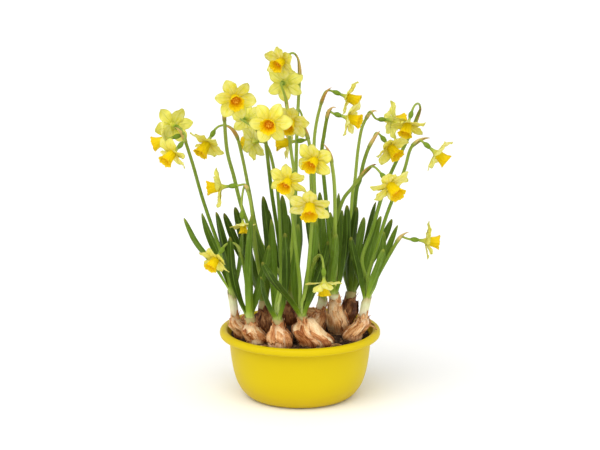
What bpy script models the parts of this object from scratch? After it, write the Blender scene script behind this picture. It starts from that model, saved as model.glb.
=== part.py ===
"""Bulb plants in a bowl: small multi-headed daffodils growing in a low round
plastic bowl. Metres, +Z up, origin at the centre of the bowl's flat underside.

Every plant is a bulb, a fan of strap leaves joined in one basal sheath, a set
of flower stalks rising through that sheath, and its flowers. Each of those is
a closed solid of its own, and touching solids keep a 0.3 mm gap.
"""
import math

import bpy
import bmesh
import numpy as np
from mathutils import Matrix, Vector

# ---------------------------------------------------------------- dimensions
MM = 0.001
GAP = 0.3 * MM                 # between touching pieces

BOWL_SEGMENTS = 36
BASE_R = 47.5 * MM               # flat underside
RIM_R = 81.5 * MM              # outside of the rolled rim
MOUTH_R = 73 * MM              # opening inside the rim
RIM_Z = 70 * MM                # top of the rim
WALL = 2.0 * MM
SOIL_Z = 66 * MM               # general level of the soil

BULB_Z0 = 52 * MM              # underside of the bulbs, buried in the soil
NECK_R = 7.2 * MM              # flat top of a bulb's neck
SHEATH_OUT = 6.7 * MM          # leaf sheath
SHEATH_IN = 4.7 * MM
STALK_R = 1.9 * MM             # flower stalk
PEDICEL_R = 1.1 * MM
OVARY_R = 2.5 * MM
OVARY_LEN = 7.5 * MM

TUBE_LEN = 8.0 * MM            # flower: hub to the back of its tube
PETAL_REACH = 22 * MM          # hub axis to petal tip
CUP_LEN = 14.5 * MM
CUP_R0 = 4.6 * MM
CUP_R1 = 8.2 * MM
LEAF_T = 1.2 * MM

# The plants are drawn on a front elevation sheet, e across and h up, one unit
# being close to 1 mm. Each point is carried to its own depth along the line of
# sight of a viewer standing off the front, so the elevation holds whatever
# depth an element takes up.
EYE = np.array([0.0, -1.95, 0.626])
LOOK_AT = np.array([0.0, 0.0, 0.1768])
SHEET_UNIT = 1.0038 * MM
SHEET_H0 = 180.0

FWD = (LOOK_AT - EYE) / np.linalg.norm(LOOK_AT - EYE)
SIDE = np.array([1.0, 0.0, 0.0])
UPW = np.cross(SIDE, FWD)
SHEET_D = float(np.linalg.norm(LOOK_AT - EYE))


def place(e, h, y):
    """Sheet point (e, h) carried to depth y (metres)."""
    e = np.asarray(e, float)
    h = np.asarray(h, float)
    y = np.asarray(y, float)
    ray = (FWD * SHEET_D + np.multiply.outer(e * SHEET_UNIT, SIDE)
           + np.multiply.outer((h - SHEET_H0) * SHEET_UNIT, UPW))
    t = (y - EYE[1]) / ray[..., 1]
    return EYE + ray * t[..., None]


# ------------------------------------------------------------------- design
# bulb: x, y (mm), belly half-widths along x and y, neck top z, neck sheet e,
# neck y, sheath height (mm)
BULBS = {
    "01": (-56, -12, 10.5, 10.5, 86, -65, -15, 27),
    "02": (-43, -36, 11.0, 11.0, 85, -49, -38, 8),
    "03": (-36, 7, 13.0, 13.0, 87, -36, 8, 9),
    "04": (-20, -50, 12.5, 12.5, 88, -22, -50, 6),
    "05": (-12, 33, 14.0, 14.0, 86, -11, 33, 9),
    "06": (16, -46, 18.0, 14.0, 90, 3, -44, 5),
    "07": (39.5, -5.5, 10.5, 10.5, 102, 35, -10, 7),
    "08": (14, 1, 11.5, 11.5, 88, 21, 6, 12),
    "09": (52.5, -22, 10.5, 10.5, 87, 63, -20, 19),
    "10": (42, 32, 13.5, 13.5, 92, 50, 30, 8),
}

# stalk: bulb, sheet points from low to high (the last is the bend under the
# flowers), depth at the top (mm)
STALKS = {
    "a": ("01", [(-92, 190), (-100, 215), (-107, 240), (-116, 268)], -14),
    "b": ("03", [(-47, 165), (-59, 200), (-66, 228), (-73, 255), (-76, 291)], -6),
    "c": ("05", [(-40, 165), (-51, 215), (-56, 240), (-61, 262), (-64, 271)], 16),
    "d": ("03", [(-41, 135), (-45, 165), (-49, 200), (-53, 217)], -24),
    "e": ("02", [(-52, 105), (-54, 125), (-57, 143), (-61, 156)], -50),
    "f": ("05", [(-18, 135), (-22, 170), (-28, 210), (-31, 235), (-35, 270)], -14),
    "g": ("04", [(-20, 120), (-19, 155), (-22, 210), (-25, 230), (-30, 252), (-38, 268)], 22),
    "h": ("05", [(-8, 140), (-5, 190), (-4, 235), (-3, 275), (-1, 315), (0, 333)], 34),
    "i": ("04", [(-18, 110), (-8, 160), (-6, 210), (-6, 233), (-9, 255), (-13, 300)], 10),
    "j": ("06", [(0, 120), (-4, 155), (-8, 195), (-10, 219)], -40),
    "k": ("06", [(5, 110), (9, 145), (12, 185), (12, 200)], -50),
    "l": ("06", [(6, 98), (8, 115), (11, 135), (15, 145)], -44),
    "m": ("08", [(17, 145), (12, 205), (10, 255), (7, 270)], 8),
    "n": ("08", [(19, 145), (15, 205), (14, 258), (17, 285), (23, 308)], 26),
    "o": ("07", [(32, 135), (26, 205), (22, 250), (24, 270), (28, 293)], -16),
    "p": ("07", [(36, 135), (35, 165), (35, 200), (34, 225), (31, 247)], -34),
    "q": ("10", [(50, 150), (52, 205), (55, 225), (58, 255), (62, 277), (69, 292)], 34),
    "r": ("10", [(52, 150), (56, 210), (60, 225), (63, 240), (67, 253), (71, 262)], 6),
    "s": ("08", [(22, 130), (28, 155), (35, 180), (43, 205), (52, 217), (62, 230)], -26),
    "t": ("09", [(62, 145), (72, 175), (84, 215), (97, 245), (105, 260), (118, 289)], 16),
    "u": ("09", [(68, 130), (76, 155), (85, 185), (92, 204), (104, 234), (110, 255), (116, 263)], -10),
    "v": ("09", [(69, 112), (78, 130), (88, 148), (98, 165)], -22),
}

# flower: stalk, sheet centre (e, h), facing azimuth (0 to the viewer, 90 to the
# right), facing elevation, size, how far it stands back from the bend (mm),
# turn of its petals about its own axis (degrees)
FLOWERS = {
    "01": ("b", (-65, 307), 8, -14, 1.0, 0, -6),
    "02": ("a", (-134, 265), -92, -18, 0.95, 0, 30),
    "03": ("a", (-127, 252), -45, -34, 0.92, -8, 15),
    "04": ("a", (-127, 279), -158, -4, 0.98, 8, -5),
    "05": ("c", (-93, 262), -42, -46, 0.98, 0, 25),
    "06": ("d", (-79, 218), -90, -5, 0.95, 0, 30),
    "07": ("d", (-57, 181), 15, -68, 0.62, 0, 0),
    "08": ("e", (-84, 146), -38, -40, 0.84, 0, 24),
    "09": ("h", (-18, 344), -32, -20, 0.88, 0, 30),
    "10": ("i", (-15, 322), 168, -8, 0.95, 0, 32),
    "11": ("f", (-30, 282), -8, -6, 1.0, 0, 3),
    "12": ("m", (-9, 284), -20, -28, 0.95, 0, 8),
    "13": ("m", (-11, 263), -86, -6, 0.92, 0, 15),
    "14": ("g", (-53, 286), 160, -10, 0.9, 10, 20),
    "15": ("g", (-46, 263), -128, -14, 0.9, -8, -10),
    "16": ("p", (15, 245), -28, -22, 0.95, 0, 22),
    "17": ("j", (-12, 224), -20, -22, 0.92, 0, 28),
    "18": ("k", (10, 200), -4, -38, 1.05, 0, 30),
    "19": ("n", (47, 308), 78, -20, 0.92, 0, 30),
    "20": ("o", (48, 287), 66, -12, 0.9, 0, 0),
    "21": ("q", (92, 285), 112, -6, 0.95, 0, 12),
    "22": ("t", (108, 281), -25, -48, 0.9, -14, 10),
    "23": ("r", (90, 258), 42, -36, 0.95, 6, 20),
    "24": ("u", (136, 252), 76, -38, 0.95, 0, 30),
    "25": ("s", (90, 220), 38, -34, 1.05, 0, 2),
    "26": ("v", (126, 164), 88, -6, 0.92, 0, 30),
    "27": ("l", (24, 122), 20, -84, 0.85, -20, 10),
}

# leaf: bulb, tip sheet point (e, h), sideways bow (mm), depth at the tip (mm),
# width (mm)
LEAVES = [
    ("01", (-116, 187), -6, -26, 5.5), ("01", (-98, 192), -4, -8, 8.0),
    ("01", (-84, 193), -2, -34, 8.5), ("01", (-57, 173), 3, -16, 7.5),
    ("02", (-70, 168), -3, -56, 8.0), ("02", (-48, 190), -2, -46, 8.5),
    ("02", (-31, 160), 2, -60, 7.5),
    ("03", (-76, 192), -3, 16, 8.5), ("03", (-65, 198), -2, -6, 9.0),
    ("03", (-48, 178), 0, 34, 8.5), ("03", (-37, 209), 1, 6, 9.0),
    ("04", (-40, 128), -4, -66, 7.5), ("04", (-15, 172), 1, -62, 8.5),
    ("04", (-29, 186), -1, -44, 8.0),
    ("05", (-18, 210), -1, 22, 9.0), ("05", (-32, 196), -2, 52, 8.5),
    ("05", (-2, 200), 1, 58, 8.5), ("05", (-12, 190), 0, 40, 8.0),
    ("06", (-2, 181), -1, -34, 8.5), ("06", (-38, 143), -5, -76, 7.5),
    ("06", (16, 186), 1, -30, 8.5), ("06", (28, 164), 3, -40, 7.5),
    ("07", (39, 212), 1, -12, 8.5), ("07", (36, 171), 2, -52, 9.0),
    ("07", (47, 200), 2, -30, 8.0), ("07", (22, 206), -2, -22, 8.0),
    ("08", (20, 213), 0, 14, 9.0), ("08", (6, 196), -2, 2, 8.5),
    ("08", (30, 193), 2, 26, 8.0), ("08", (10, 180), -1, 32, 8.0),
    ("09", (84, 156), 3, -28, 8.5), ("09", (83, 174), 2, -10, 8.0),
    ("09", (51, 168), -2, -30, 8.0), ("09", (81, 189), 1, 10, 8.5),
    ("09", (98, 180), 4, 4, 7.5),
    ("10", (57, 198), 0, 16, 8.5), ("10", (76, 203), 2, 34, 9.0),
    ("10", (64, 188), 1, 56, 8.5), ("10", (42, 195), -2, 50, 8.5),
    ("10", (92, 186), 4, 44, 8.0),
]


# ------------------------------------------------------------------ curves
def catmull(points, s):
    """Centripetal-free Catmull-Rom through points, by arc share s in 0..1."""
    p = np.asarray(points, float)
    seg = np.linalg.norm(np.diff(p, axis=0), axis=1)
    knots = np.concatenate([[0], np.cumsum(seg)]) / seg.sum()
    ext = np.vstack([2 * p[0] - p[1], p, 2 * p[-1] - p[-2]])
    out = []
    for v in np.atleast_1d(s):
        i = min(max(int(np.searchsorted(knots, v, side="right")) - 1, 0), len(p) - 2)
        t = (v - knots[i]) / (knots[i + 1] - knots[i])
        a, b, c, d = ext[i:i + 4]
        out.append(0.5 * (2 * b + (c - a) * t + (2 * a - 5 * b + 4 * c - d) * t * t
                          + (3 * b - a - 3 * c + d) * t ** 3))
    return np.array(out)


def bezier(p0, p1, p2, p3, s):
    s = np.asarray(s, float)[:, None]
    return ((1 - s) ** 3 * p0 + 3 * (1 - s) ** 2 * s * p1
            + 3 * (1 - s) * s ** 2 * p2 + s ** 3 * p3)


def facing(az, el):
    a, b = math.radians(az), math.radians(el)
    return np.array([math.sin(a) * math.cos(b), -math.cos(a) * math.cos(b), math.sin(b)])


def to_sheet(p):
    d = np.asarray(p, float) - EYE
    k = SHEET_D / (d @ FWD)                   # works on one point or many
    return d @ SIDE * k / SHEET_UNIT, d @ UPW * k / SHEET_UNIT + SHEET_H0


def neck_top(b):
    x, y, rx, ry, z, e, ny, sh = BULBS[b]
    h = 100.0
    for _ in range(20):                       # sheet height whose z is the neck's
        p = place(e, h, ny * MM)
        h += (z * MM - p[2]) / MM
    return place(e, h, ny * MM), h


def sheath_axis(b):
    """Foot and top of the sheath's axis: it leans the way the neck leans."""
    x, y, rx, ry, z, e, ny, sh = BULBS[b]
    foot, h = neck_top(b)
    lean = np.array([(foot[0] - x * MM) * 0.35, (foot[1] - y * MM) * 0.35, sh * MM])
    lean[:2] *= min(1.0, 0.22 * sh * MM / max(np.linalg.norm(lean[:2]), 1e-9))
    return foot + np.array([0, 0, GAP]), foot + np.array([0, 0, GAP]) + lean


def smooth(t):
    t = np.clip(t, 0, 1)
    return t * t * (3 - 2 * t)


class Strand:
    """A leaf or a stalk: a sheet curve with a depth that can be eased."""

    def __init__(self, kind, name, bulb, foot, pts, y1, radius, n):
        self.kind, self.name, self.bulb = kind, name, bulb
        self.y0, self.y1 = foot[1], y1 * MM
        self.pts = [to_sheet(foot)] + list(pts)
        self.a = self.b = self.flare = 0.0
        self.s = np.linspace(0, 1, n)
        self.eh = catmull(self.pts, self.s)
        self.radius = radius(self.s)

    def depth(self, s):
        return (self.y0 + (self.y1 - self.y0) * np.power(s, 1.4)
                + self.a * s ** 2 + self.b * 6.75 * s ** 2 * (1 - s)
                + self.flare * smooth(s / 0.22) * (1 - 0.5 * s))

    def at(self, s):
        s = np.atleast_1d(s)
        eh = catmull(self.pts, s)
        return place(eh[:, 0], eh[:, 1], self.depth(s))

    def samples(self):
        return place(self.eh[:, 0], self.eh[:, 1], self.depth(self.s))


def perp(d):
    u = np.cross(d, [0, 0, 1.0])
    if np.linalg.norm(u) < 0.15:
        u = np.cross(d, [0, 1.0, 0])
    u /= np.linalg.norm(u)
    return u, np.cross(d, u)


class Bloom:
    def __init__(self, name, stalk, eh, az, el, size, back, roll):
        self.name, self.stalk, self.eh, self.size = name, stalk, eh, size
        self.d = facing(az, el)
        self.c = back * MM
        self.back = (TUBE_LEN * size + GAP + OVARY_LEN)
        u, v = perp(self.d)
        a = math.radians(roll)
        u, v = u * math.cos(a) + v * math.sin(a), v * math.cos(a) - u * math.sin(a)
        self.u, self.v = u, v
        off, rad = [np.zeros(3)], [4.0 * MM]
        for k in (0.25, 0.6, 0.95):
            off.append(self.d * CUP_LEN * size * k)
            rad.append((CUP_R0 + (CUP_R1 - CUP_R0) * k) * size + 0.6 * MM)
        for i in range(6):
            a = math.radians(60 * i)
            for r, w in ((9, 4.2), (14, 4.2), (19, 3.2)):
                off.append((u * math.cos(a) + v * math.sin(a)) * r * size * MM
                           + self.d * size * 0.10 * r * MM)
                rad.append(w * MM)
        off.append(-self.d * TUBE_LEN * size * 0.6)
        rad.append(2.6 * MM)
        self.off, self.rad = np.array(off), np.array(rad)

    def centre(self):
        y = self.stalk.depth(1.0) + self.d[1] * (self.back + 6 * MM) + self.c
        return place(self.eh[0], self.eh[1], y)

    def pedicel(self, n):
        """From the stalk's bend to the foot of the ovary, and its axis."""
        top = self.stalk.at(1.0)[0]
        below = self.stalk.at(0.96)[0]
        t = (top - below) / np.linalg.norm(top - below)
        end = self.centre() - self.d * self.back
        reach = np.linalg.norm(end - top)
        pull = 0.42 * reach + 2 * MM
        return bezier(top, top + t * pull, end - self.d * pull, end, np.linspace(0, 1, n))


def stand(strands, blooms, n, fixed):
    """Every sample point where it now stands."""
    out = [s.samples() for s in strands]
    for f in blooms:
        out.append(f.centre() + f.off)
        out.append(f.pedicel(n))
    out.append(np.array(fixed))
    return np.vstack(out)


def arrange():
    """Ease every leaf, stalk and flower in depth until they stand clear."""
    strands, blooms = [], []
    for i, (b, tip, bow, y1, w) in enumerate(LEAVES):
        foot, top = sheath_axis(b)
        mates = [k for k, leaf in enumerate(LEAVES) if leaf[0] == b]
        ang = leaf_angles(b)[i]
        start = top + SHEATH_MID * np.array([math.cos(ang), math.sin(ang), 0])
        e0, h0 = to_sheet(start)
        e1, h1 = tip
        mid = (e0 + (e1 - e0) * 0.42 + bow, h0 + (h1 - h0) * 0.55)
        out = FLARE * math.cos(ang)
        low = (e0 + (e1 - e0) * 0.10 + bow * 0.5 + out, h0 + (h1 - h0) * 0.22)
        mid = (mid[0] + out * 0.6, mid[1])
        st = Strand("leaf", "%02d" % i, b, start, [low, mid, tip], y1,
                    lambda s, w=w: (0.9 + (w * 0.5 - 1.2) * smooth(s / 0.35)
                                    * (1 - 0.45 * smooth((s - 0.75) / 0.25))) * MM, 34)
        st.width = w
        st.angle = ang
        st.flare = FLARE * math.sin(ang) * MM
        strands.append(st)
    by_name = {}
    for name, (b, pts, y1) in STALKS.items():
        foot, top = sheath_axis(b)
        cell = stalk_cells(b)[name]
        start = top + np.array([cell[0], cell[1], 1.0 * MM])
        e0, h0 = to_sheet(start)
        k = 12.0 / (pts[0][1] - h0)
        first = (e0 + (pts[0][0] - e0) * k * 0.45, h0 + 12.0)
        st = Strand("stalk", name, b, start, [first] + pts, y1,
                    lambda s: np.full(s.shape, STALK_R + 0.5 * MM), 64)
        strands.append(st)
        by_name[name] = st
    for name, (stalk, eh, az, el, size, back, roll) in FLOWERS.items():
        blooms.append(Bloom(name, by_name[stalk], eh, az, el, size, back, roll))

    index = {id(s): i for i, s in enumerate(strands)}
    elem, share, rad, kind, bulb = [], [], [], [], []
    for i, s in enumerate(strands):
        n = len(s.s)
        elem += [i] * n
        share += list(s.s)
        rad += list(s.radius)
        kind += [0 if s.kind == "leaf" else 1] * n
        bulb += [int(s.bulb)] * n
    NP = 7
    for j, f in enumerate(blooms):
        n = len(f.rad)
        elem += [len(strands) + j] * (n + NP)
        share += [1.0] * (n + NP)
        rad += list(f.rad) + [PEDICEL_R + 0.7 * MM] * (NP - 2) + [OVARY_R + 0.4 * MM] * 2
        kind += [2] * n + [3] * NP
        bulb += [int(f.stalk.bulb)] * (n + NP)
    fixed, fixed_r = [], []
    for b, (x, y, rx, ry, z, e, ny, sh) in BULBS.items():
        foot, top = sheath_axis(b)
        base = np.array([x * MM, y * MM, 66 * MM])
        for k, r in ((0.0, max(rx, ry)), (0.35, 0.8 * max(rx, ry)), (0.7, 9.5), (1.0, 8.0)):
            fixed.append(base + (foot - base) * k)
            fixed_r.append((r + 1) * MM)
            elem.append(-1)
            bulb.append(int(b))
            kind.append(4)
            share.append(0.0)
        for k in np.linspace(0, 1, max(2, int(sh / 5))):
            fixed.append(foot + (top - foot) * k)
            fixed_r.append(SHEATH_OUT + 0.6 * MM)
            elem.append(-1)
            bulb.append(int(b))
            kind.append(4)
            share.append(0.0)
    rad += fixed_r
    elem, share, rad, kind, bulb = map(np.array, (elem, share, rad, kind, bulb))
    length = np.array([seg_len(s) for s in strands] + [1.0] * (len(blooms) + 1))
    run = share * length[elem]
    n = len(elem)
    owner = np.full(len(strands) + len(blooms) + 1, -9)
    for j, f in enumerate(blooms):
        owner[len(strands) + j] = index[id(f.stalk)]
    allow = elem[:, None] != elem[None, :]
    same = bulb[:, None] == bulb[None, :]
    strandlike = kind <= 1
    both = strandlike[:, None] & strandlike[None, :] & same
    lowpair = both & ((run[:, None] < 13 * MM) | (run[None, :] < 13 * MM))
    allow &= ~lowpair
    allow &= ~(same & ((kind[:, None] == 4) | (kind[None, :] == 4)))
    own = owner[elem]
    mine = (own[:, None] == elem[None, :])            # flower against its own stalk
    near = (share[None, :] > 0.93) | (kind[:, None] == 3)
    skip = mine & near
    allow &= ~(skip | skip.T)
    sib = (own[:, None] == own[None, :]) & (own[:, None] >= 0)
    sib &= (kind[:, None] == 3) & (kind[None, :] == 3)
    allow &= ~sib
    allow = np.triu(allow, 1)
    # only pairs that meet in the elevation can ever touch
    P = stand(strands, blooms, NP, fixed)
    flat = np.column_stack(to_sheet(P)) * SHEET_UNIT
    q = (flat ** 2).sum(1)
    apart = q[:, None] + q[None, :] - 2 * (flat @ flat.T)
    allow &= apart < (rad[:, None] + rad[None, :] + 5 * MM) ** 2
    CI, CJ = np.nonzero(allow)
    CR = (rad[CI] + rad[CJ] + 0.5 * MM) ** 2

    wa, wb = share ** 2, 6.75 * share ** 2 * (1 - share)
    moved = len(strands) + len(blooms)
    for step in range(RELAX_STEPS):
        P = stand(strands, blooms, NP, fixed)
        D2 = ((P[CI] - P[CJ]) ** 2).sum(1)
        hit = D2 < CR
        I, J, D2, RR = CI[hit], CJ[hit], D2[hit], CR[hit]
        if len(I) == 0:
            break
        dy = P[I, 1] - P[J, 1]
        dxz2 = np.maximum(D2 - dy ** 2, 0)
        # a pair of elements keeps one order: its mean side decides
        _, inv = np.unique(elem[I] * 1000 + elem[J], return_inverse=True)
        side = np.where(np.bincount(inv, dy)[inv] >= 0, 1.0, -1.0)
        need = np.sqrt(np.maximum(RR - dxz2, 0)) - side * dy
        push = 0.5 * need * side
        A = np.zeros(moved + 1); WA = np.zeros(moved + 1)
        B = np.zeros(moved + 1); WB = np.zeros(moved + 1)
        for idx, sg in ((I, 1.0), (J, -1.0)):
            el_ = elem[idx]
            c = push * sg
            is_f = kind[idx] >= 2
            w = np.minimum(need / (1.0 * MM), 3.0) + 0.2
            for arr, warr, basis in ((A, WA, np.where(is_f, 1.0, wa[idx])),
                                     (B, WB, np.where(is_f, 0.0, wb[idx]))):
                np.add.at(arr, el_, c * basis * w)
                np.add.at(warr, el_, basis ** 2 * w)
        gain = 0.55
        for i, s in enumerate(strands):
            s.a += gain * A[i] / (WA[i] + 0.3)
            s.b += gain * B[i] / (WB[i] + 0.3)
            s.a = float(np.clip(s.a, -45 * MM, 45 * MM))
            s.b = float(np.clip(s.b, -22 * MM, 22 * MM))
        for j, f in enumerate(blooms):
            k = len(strands) + j
            d = gain * A[k] / (WA[k] + 0.3)
            f.c = float(np.clip(f.c + 0.6 * d, -26 * MM, 26 * MM))
            f.stalk.a += 0.35 * d
    arrange.left = len(I)
    return strands, blooms


FLARE = 5.0                    # leaves spread as they leave the sheath (mm)
RELAX_STEPS = 300
SHEATH_MID = (SHEATH_IN + SHEATH_OUT) / 2


def leaf_angles(b):
    """Share the sheath's ring among the bulb's leaves, in order of heading."""
    mine = [i for i, leaf in enumerate(LEAVES) if leaf[0] == b]
    foot, top = sheath_axis(b)
    heads = []
    for i in mine:
        _, tip, bow, y1, w = LEAVES[i]
        p = place(tip[0], tip[1], y1 * MM)
        heads.append(math.atan2(p[1] - top[1], p[0] - top[0]) % (2 * math.pi))
    order = sorted(range(len(mine)), key=lambda k: heads[k])
    n = len(mine)
    step = 2 * math.pi / n
    shift = sum(math.sin(heads[k] - r * step) for r, k in enumerate(order))
    shift = math.atan2(shift, sum(math.cos(heads[k] - r * step)
                                  for r, k in enumerate(order)))
    return {mine[k]: shift + r * step for r, k in enumerate(order)}


def stalk_cells(b):
    """Honeycomb cells for the bulb's stalks: one, two or three side by side."""
    mine = [k for k, v in STALKS.items() if v[0] == b]
    r = STALK_R
    if len(mine) == 1:
        return {mine[0]: (0.0, 0.0)}
    heads = {}
    foot, top = sheath_axis(b)
    for k in mine:
        e, h = STALKS[k][1][-1]
        p = place(e, h, STALKS[k][2] * MM)
        heads[k] = (p[0] - top[0], p[1] - top[1])
    if len(mine) == 2:
        lo, hi = sorted(mine, key=lambda k: heads[k][0])
        w = r * math.sqrt(3) / 2
        return {lo: (-w, 0.0), hi: (w, 0.0)}
    # three cells round a shared corner, at 30, 150 and 270 degrees
    spots = [(r * math.cos(math.radians(a)), r * math.sin(math.radians(a)))
             for a in (30, 150, 270)]
    front = min(mine, key=lambda k: heads[k][1])
    rest = sorted([k for k in mine if k != front], key=lambda k: heads[k][0])
    return {front: spots[2], rest[0]: spots[1], rest[1]: spots[0]}


# ------------------------------------------------------------------- meshes
def clear_scene():
    for o in list(bpy.data.objects):
        bpy.data.objects.remove(o, do_unlink=True)


def finish_mesh(name, bm, colour, roughness, smooth_shade=True):
    bmesh.ops.recalc_face_normals(bm, faces=bm.faces)
    if bm.calc_volume(signed=True) < 0:
        bmesh.ops.reverse_faces(bm, faces=bm.faces)
    me = bpy.data.meshes.new(name)
    bm.to_mesh(me)
    bm.free()
    ob = bpy.data.objects.new(name, me)
    bpy.context.scene.collection.objects.link(ob)
    mat = bpy.data.materials.new(name + "_material")
    mat.use_nodes = True
    p = mat.node_tree.nodes["Principled BSDF"]
    p.inputs["Base Color"].default_value = (*colour, 1.0)
    p.inputs["Roughness"].default_value = roughness
    p.inputs["Metallic"].default_value = 0.0
    mat.diffuse_color = (*colour, 1.0)
    me.materials.append(mat)
    if smooth_shade:
        me.shade_smooth()
        me.set_sharp_from_angle(angle=math.radians(40))
    return ob


def set_origin(ob, p):
    """Put the object's origin at p without moving its surface."""
    p = Vector(p)
    ob.data.transform(Matrix.Translation(-p))
    ob.location = p


def lathe(bm, profile, segments, centre=None, squash=None):
    """Closed turned solid: profile runs from the lower pole to the upper one."""
    rings = []
    for k, (r, z) in enumerate(profile):
        cx, cy = centre(z) if centre else (0.0, 0.0)
        if r <= 1e-9:
            rings.append([bm.verts.new((cx, cy, z))])
            continue
        sx, sy = squash(z) if squash else (1.0, 1.0)
        rings.append([bm.verts.new((cx + r * sx * math.cos(2 * math.pi * i / segments),
                                    cy + r * sy * math.sin(2 * math.pi * i / segments), z))
                      for i in range(segments)])
    for a, b in zip(rings, rings[1:]):
        for i in range(segments):
            j = (i + 1) % segments
            if len(a) == 1:
                bm.faces.new((a[0], b[j], b[i]))
            elif len(b) == 1:
                bm.faces.new((a[i], a[j], b[0]))
            else:
                bm.faces.new((a[i], a[j], b[j], b[i]))
    return rings


def grow(bm, face, centres, radii, frames, flats=None):
    """Extrude a face through a run of sections. Each corner keeps its angle
    round the section, eased to an even spread where the face is a quad."""
    corners = list(face.verts)
    c0 = np.array(face.calc_center_median())
    u, v = frames[0]
    ang = [math.atan2(np.dot(np.array(p.co) - c0, v), np.dot(np.array(p.co) - c0, u))
           for p in corners]
    n = len(corners)
    turn = 1.0 if sum(math.sin(ang[(i + 1) % n] - ang[i]) for i in range(n)) > 0 else -1.0
    mean = math.atan2(sum(math.sin(a - turn * 2 * math.pi * i / n) for i, a in enumerate(ang)),
                      sum(math.cos(a - turn * 2 * math.pi * i / n) for i, a in enumerate(ang)))
    even = [mean + turn * 2 * math.pi * i / n for i in range(n)]
    bm.faces.remove(face)
    ring = corners
    for k, (c, r, (u, v)) in enumerate(zip(centres, radii, frames)):
        new = [bm.verts.new(c + r * (math.cos(a) * u + math.sin(a) * v)) for a in even]
        for i in range(n):
            j = (i + 1) % n
            bm.faces.new((ring[i], ring[j], new[j], new[i]))
        ring = new
    return bm.faces.new(ring), ring


def carry_frames(pts, u0):
    """Frames carried along a curve without spin."""
    t = np.gradient(pts, axis=0)
    t /= np.linalg.norm(t, axis=1)[:, None]
    frames, u = [], np.asarray(u0, float)
    for k in range(len(pts)):
        u = u - t[k] * np.dot(u, t[k])
        u /= np.linalg.norm(u)
        frames.append((u, np.cross(t[k], u)))
    return frames


def make_bowl():
    r0, z0 = BASE_R, 0.0
    rim, top, mouth = RIM_R / MM, RIM_Z / MM, MOUTH_R / MM
    outer = [(52.5, 1.2), (56.5, 4.2), (60.5, 9.2), (64.3, 16), (67.6, 26), (69.8, 38),
             (71.4, 54), (mouth - 1, top - 8.2), (rim - 2.2, top - 7.4), (rim - 0.3, top - 5.8),
             (rim, top - 3.6), (rim - 0.9, top - 1.2), (rim - 3.3, top), (mouth + 2, top - 0.2),
             (mouth, top - 2)]
    inner = [(70.4, 62), (69.4, 54), (67.7, 38), (65.5, 26.6), (62.3, 17.4), (58.2, 10.4),
             (53, 5.2), (46, 2.8)]
    bm = bmesh.new()
    profile = ([(0, 0), (r0, 0)] + [(r * MM, z * MM) for r, z in outer]
               + [(r * MM, z * MM) for r, z in inner] + [(0, 2.8 * MM)])
    lathe(bm, profile, BOWL_SEGMENTS)
    return finish_mesh("bowl", bm, (0.80, 0.62, 0.02), 0.38)


def bulb_profile(z_top, rx, grow_by=0.0):
    z0 = BULB_Z0 / MM
    mid = 71.0 + 0.06 * rx + 0.6 * max(z_top - 92.0, 0.0)
    pts = [(5.0, z0), (rx * 0.72, z0 + 4.5), (rx * 0.97, mid - 7), (rx, mid),
           (rx * 0.90, mid + 6)]
    neck = NECK_R / MM
    pts += [(max(neck + 1.4, rx * 0.62), mid + 6 + (z_top - mid - 6) * 0.38),
            (neck + 0.5, mid + 6 + (z_top - mid - 6) * 0.74), (neck, z_top)]
    out = [(0, (z0 - grow_by) * MM)]
    for k, (r, z) in enumerate(pts):
        zz = z - grow_by if k == 0 else (z + grow_by if k == len(pts) - 1 else z)
        out.append(((r + grow_by) * MM, zz * MM))
    out.append((0, (z_top + grow_by) * MM))
    return out


def bulb_mesh(bm, b, grow_by=0.0):
    x, y, rx, ry, z, e, ny, sh = BULBS[b]
    foot, _ = neck_top(b)

    def centre(zz):
        t = smooth((zz - 68 * MM) / ((z - 4) * MM - 68 * MM))
        return x * MM + (foot[0] - x * MM) * t, y * MM + (foot[1] - y * MM) * t

    def squash(zz):
        t = 1 - smooth((zz - 74 * MM) / ((z - 6) * MM - 74 * MM))
        return 1.0, 1.0 + (ry / rx - 1.0) * t

    lathe(bm, bulb_profile(z, rx, grow_by), 10, centre, squash)


def make_bulbs():
    out = []
    for b in BULBS:
        bm = bmesh.new()
        bulb_mesh(bm, b)
        ob = finish_mesh("bulb_" + b, bm, (0.45, 0.24, 0.11), 0.6)
        x, y = BULBS[b][:2]
        set_origin(ob, (x * MM, y * MM, BULB_Z0))
        out.append(ob)
    return out


def make_soil():
    bm = bmesh.new()
    g = GAP
    prof = [(0, 2.8 * MM + g), (45.6 * MM, 2.8 * MM + g), (52.5 * MM, 5.3 * MM + g),
            (57.6 * MM, 10.8 * MM), (61.7 * MM, 17.7 * MM), (64.9 * MM, 26.8 * MM),
            (67.1 * MM, 38.2 * MM), (68.8 * MM, 54 * MM), (69.4 * MM, 60 * MM),
            (68.9 * MM, 64 * MM), (62 * MM, 65.2 * MM), (50 * MM, SOIL_Z),
            (30 * MM, SOIL_Z + 0.6 * MM), (0, SOIL_Z + MM)]
    lathe(bm, prof, 24)
    soil = finish_mesh("potting_soil", bm, (0.035, 0.022, 0.014), 0.95)
    for b in BULBS:
        cb = bmesh.new()
        bulb_mesh(cb, b, 0.3)
        cutter = finish_mesh("cut_" + b, cb, (0.5, 0.5, 0.5), 0.5, False)
        cutter.hide_render = True
        cutter.display_type = "WIRE"
        m = soil.modifiers.new("bulb_" + b, "BOOLEAN")
        m.operation = "DIFFERENCE"
        m.solver = "EXACT"
        m.object = cutter
    return soil


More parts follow.
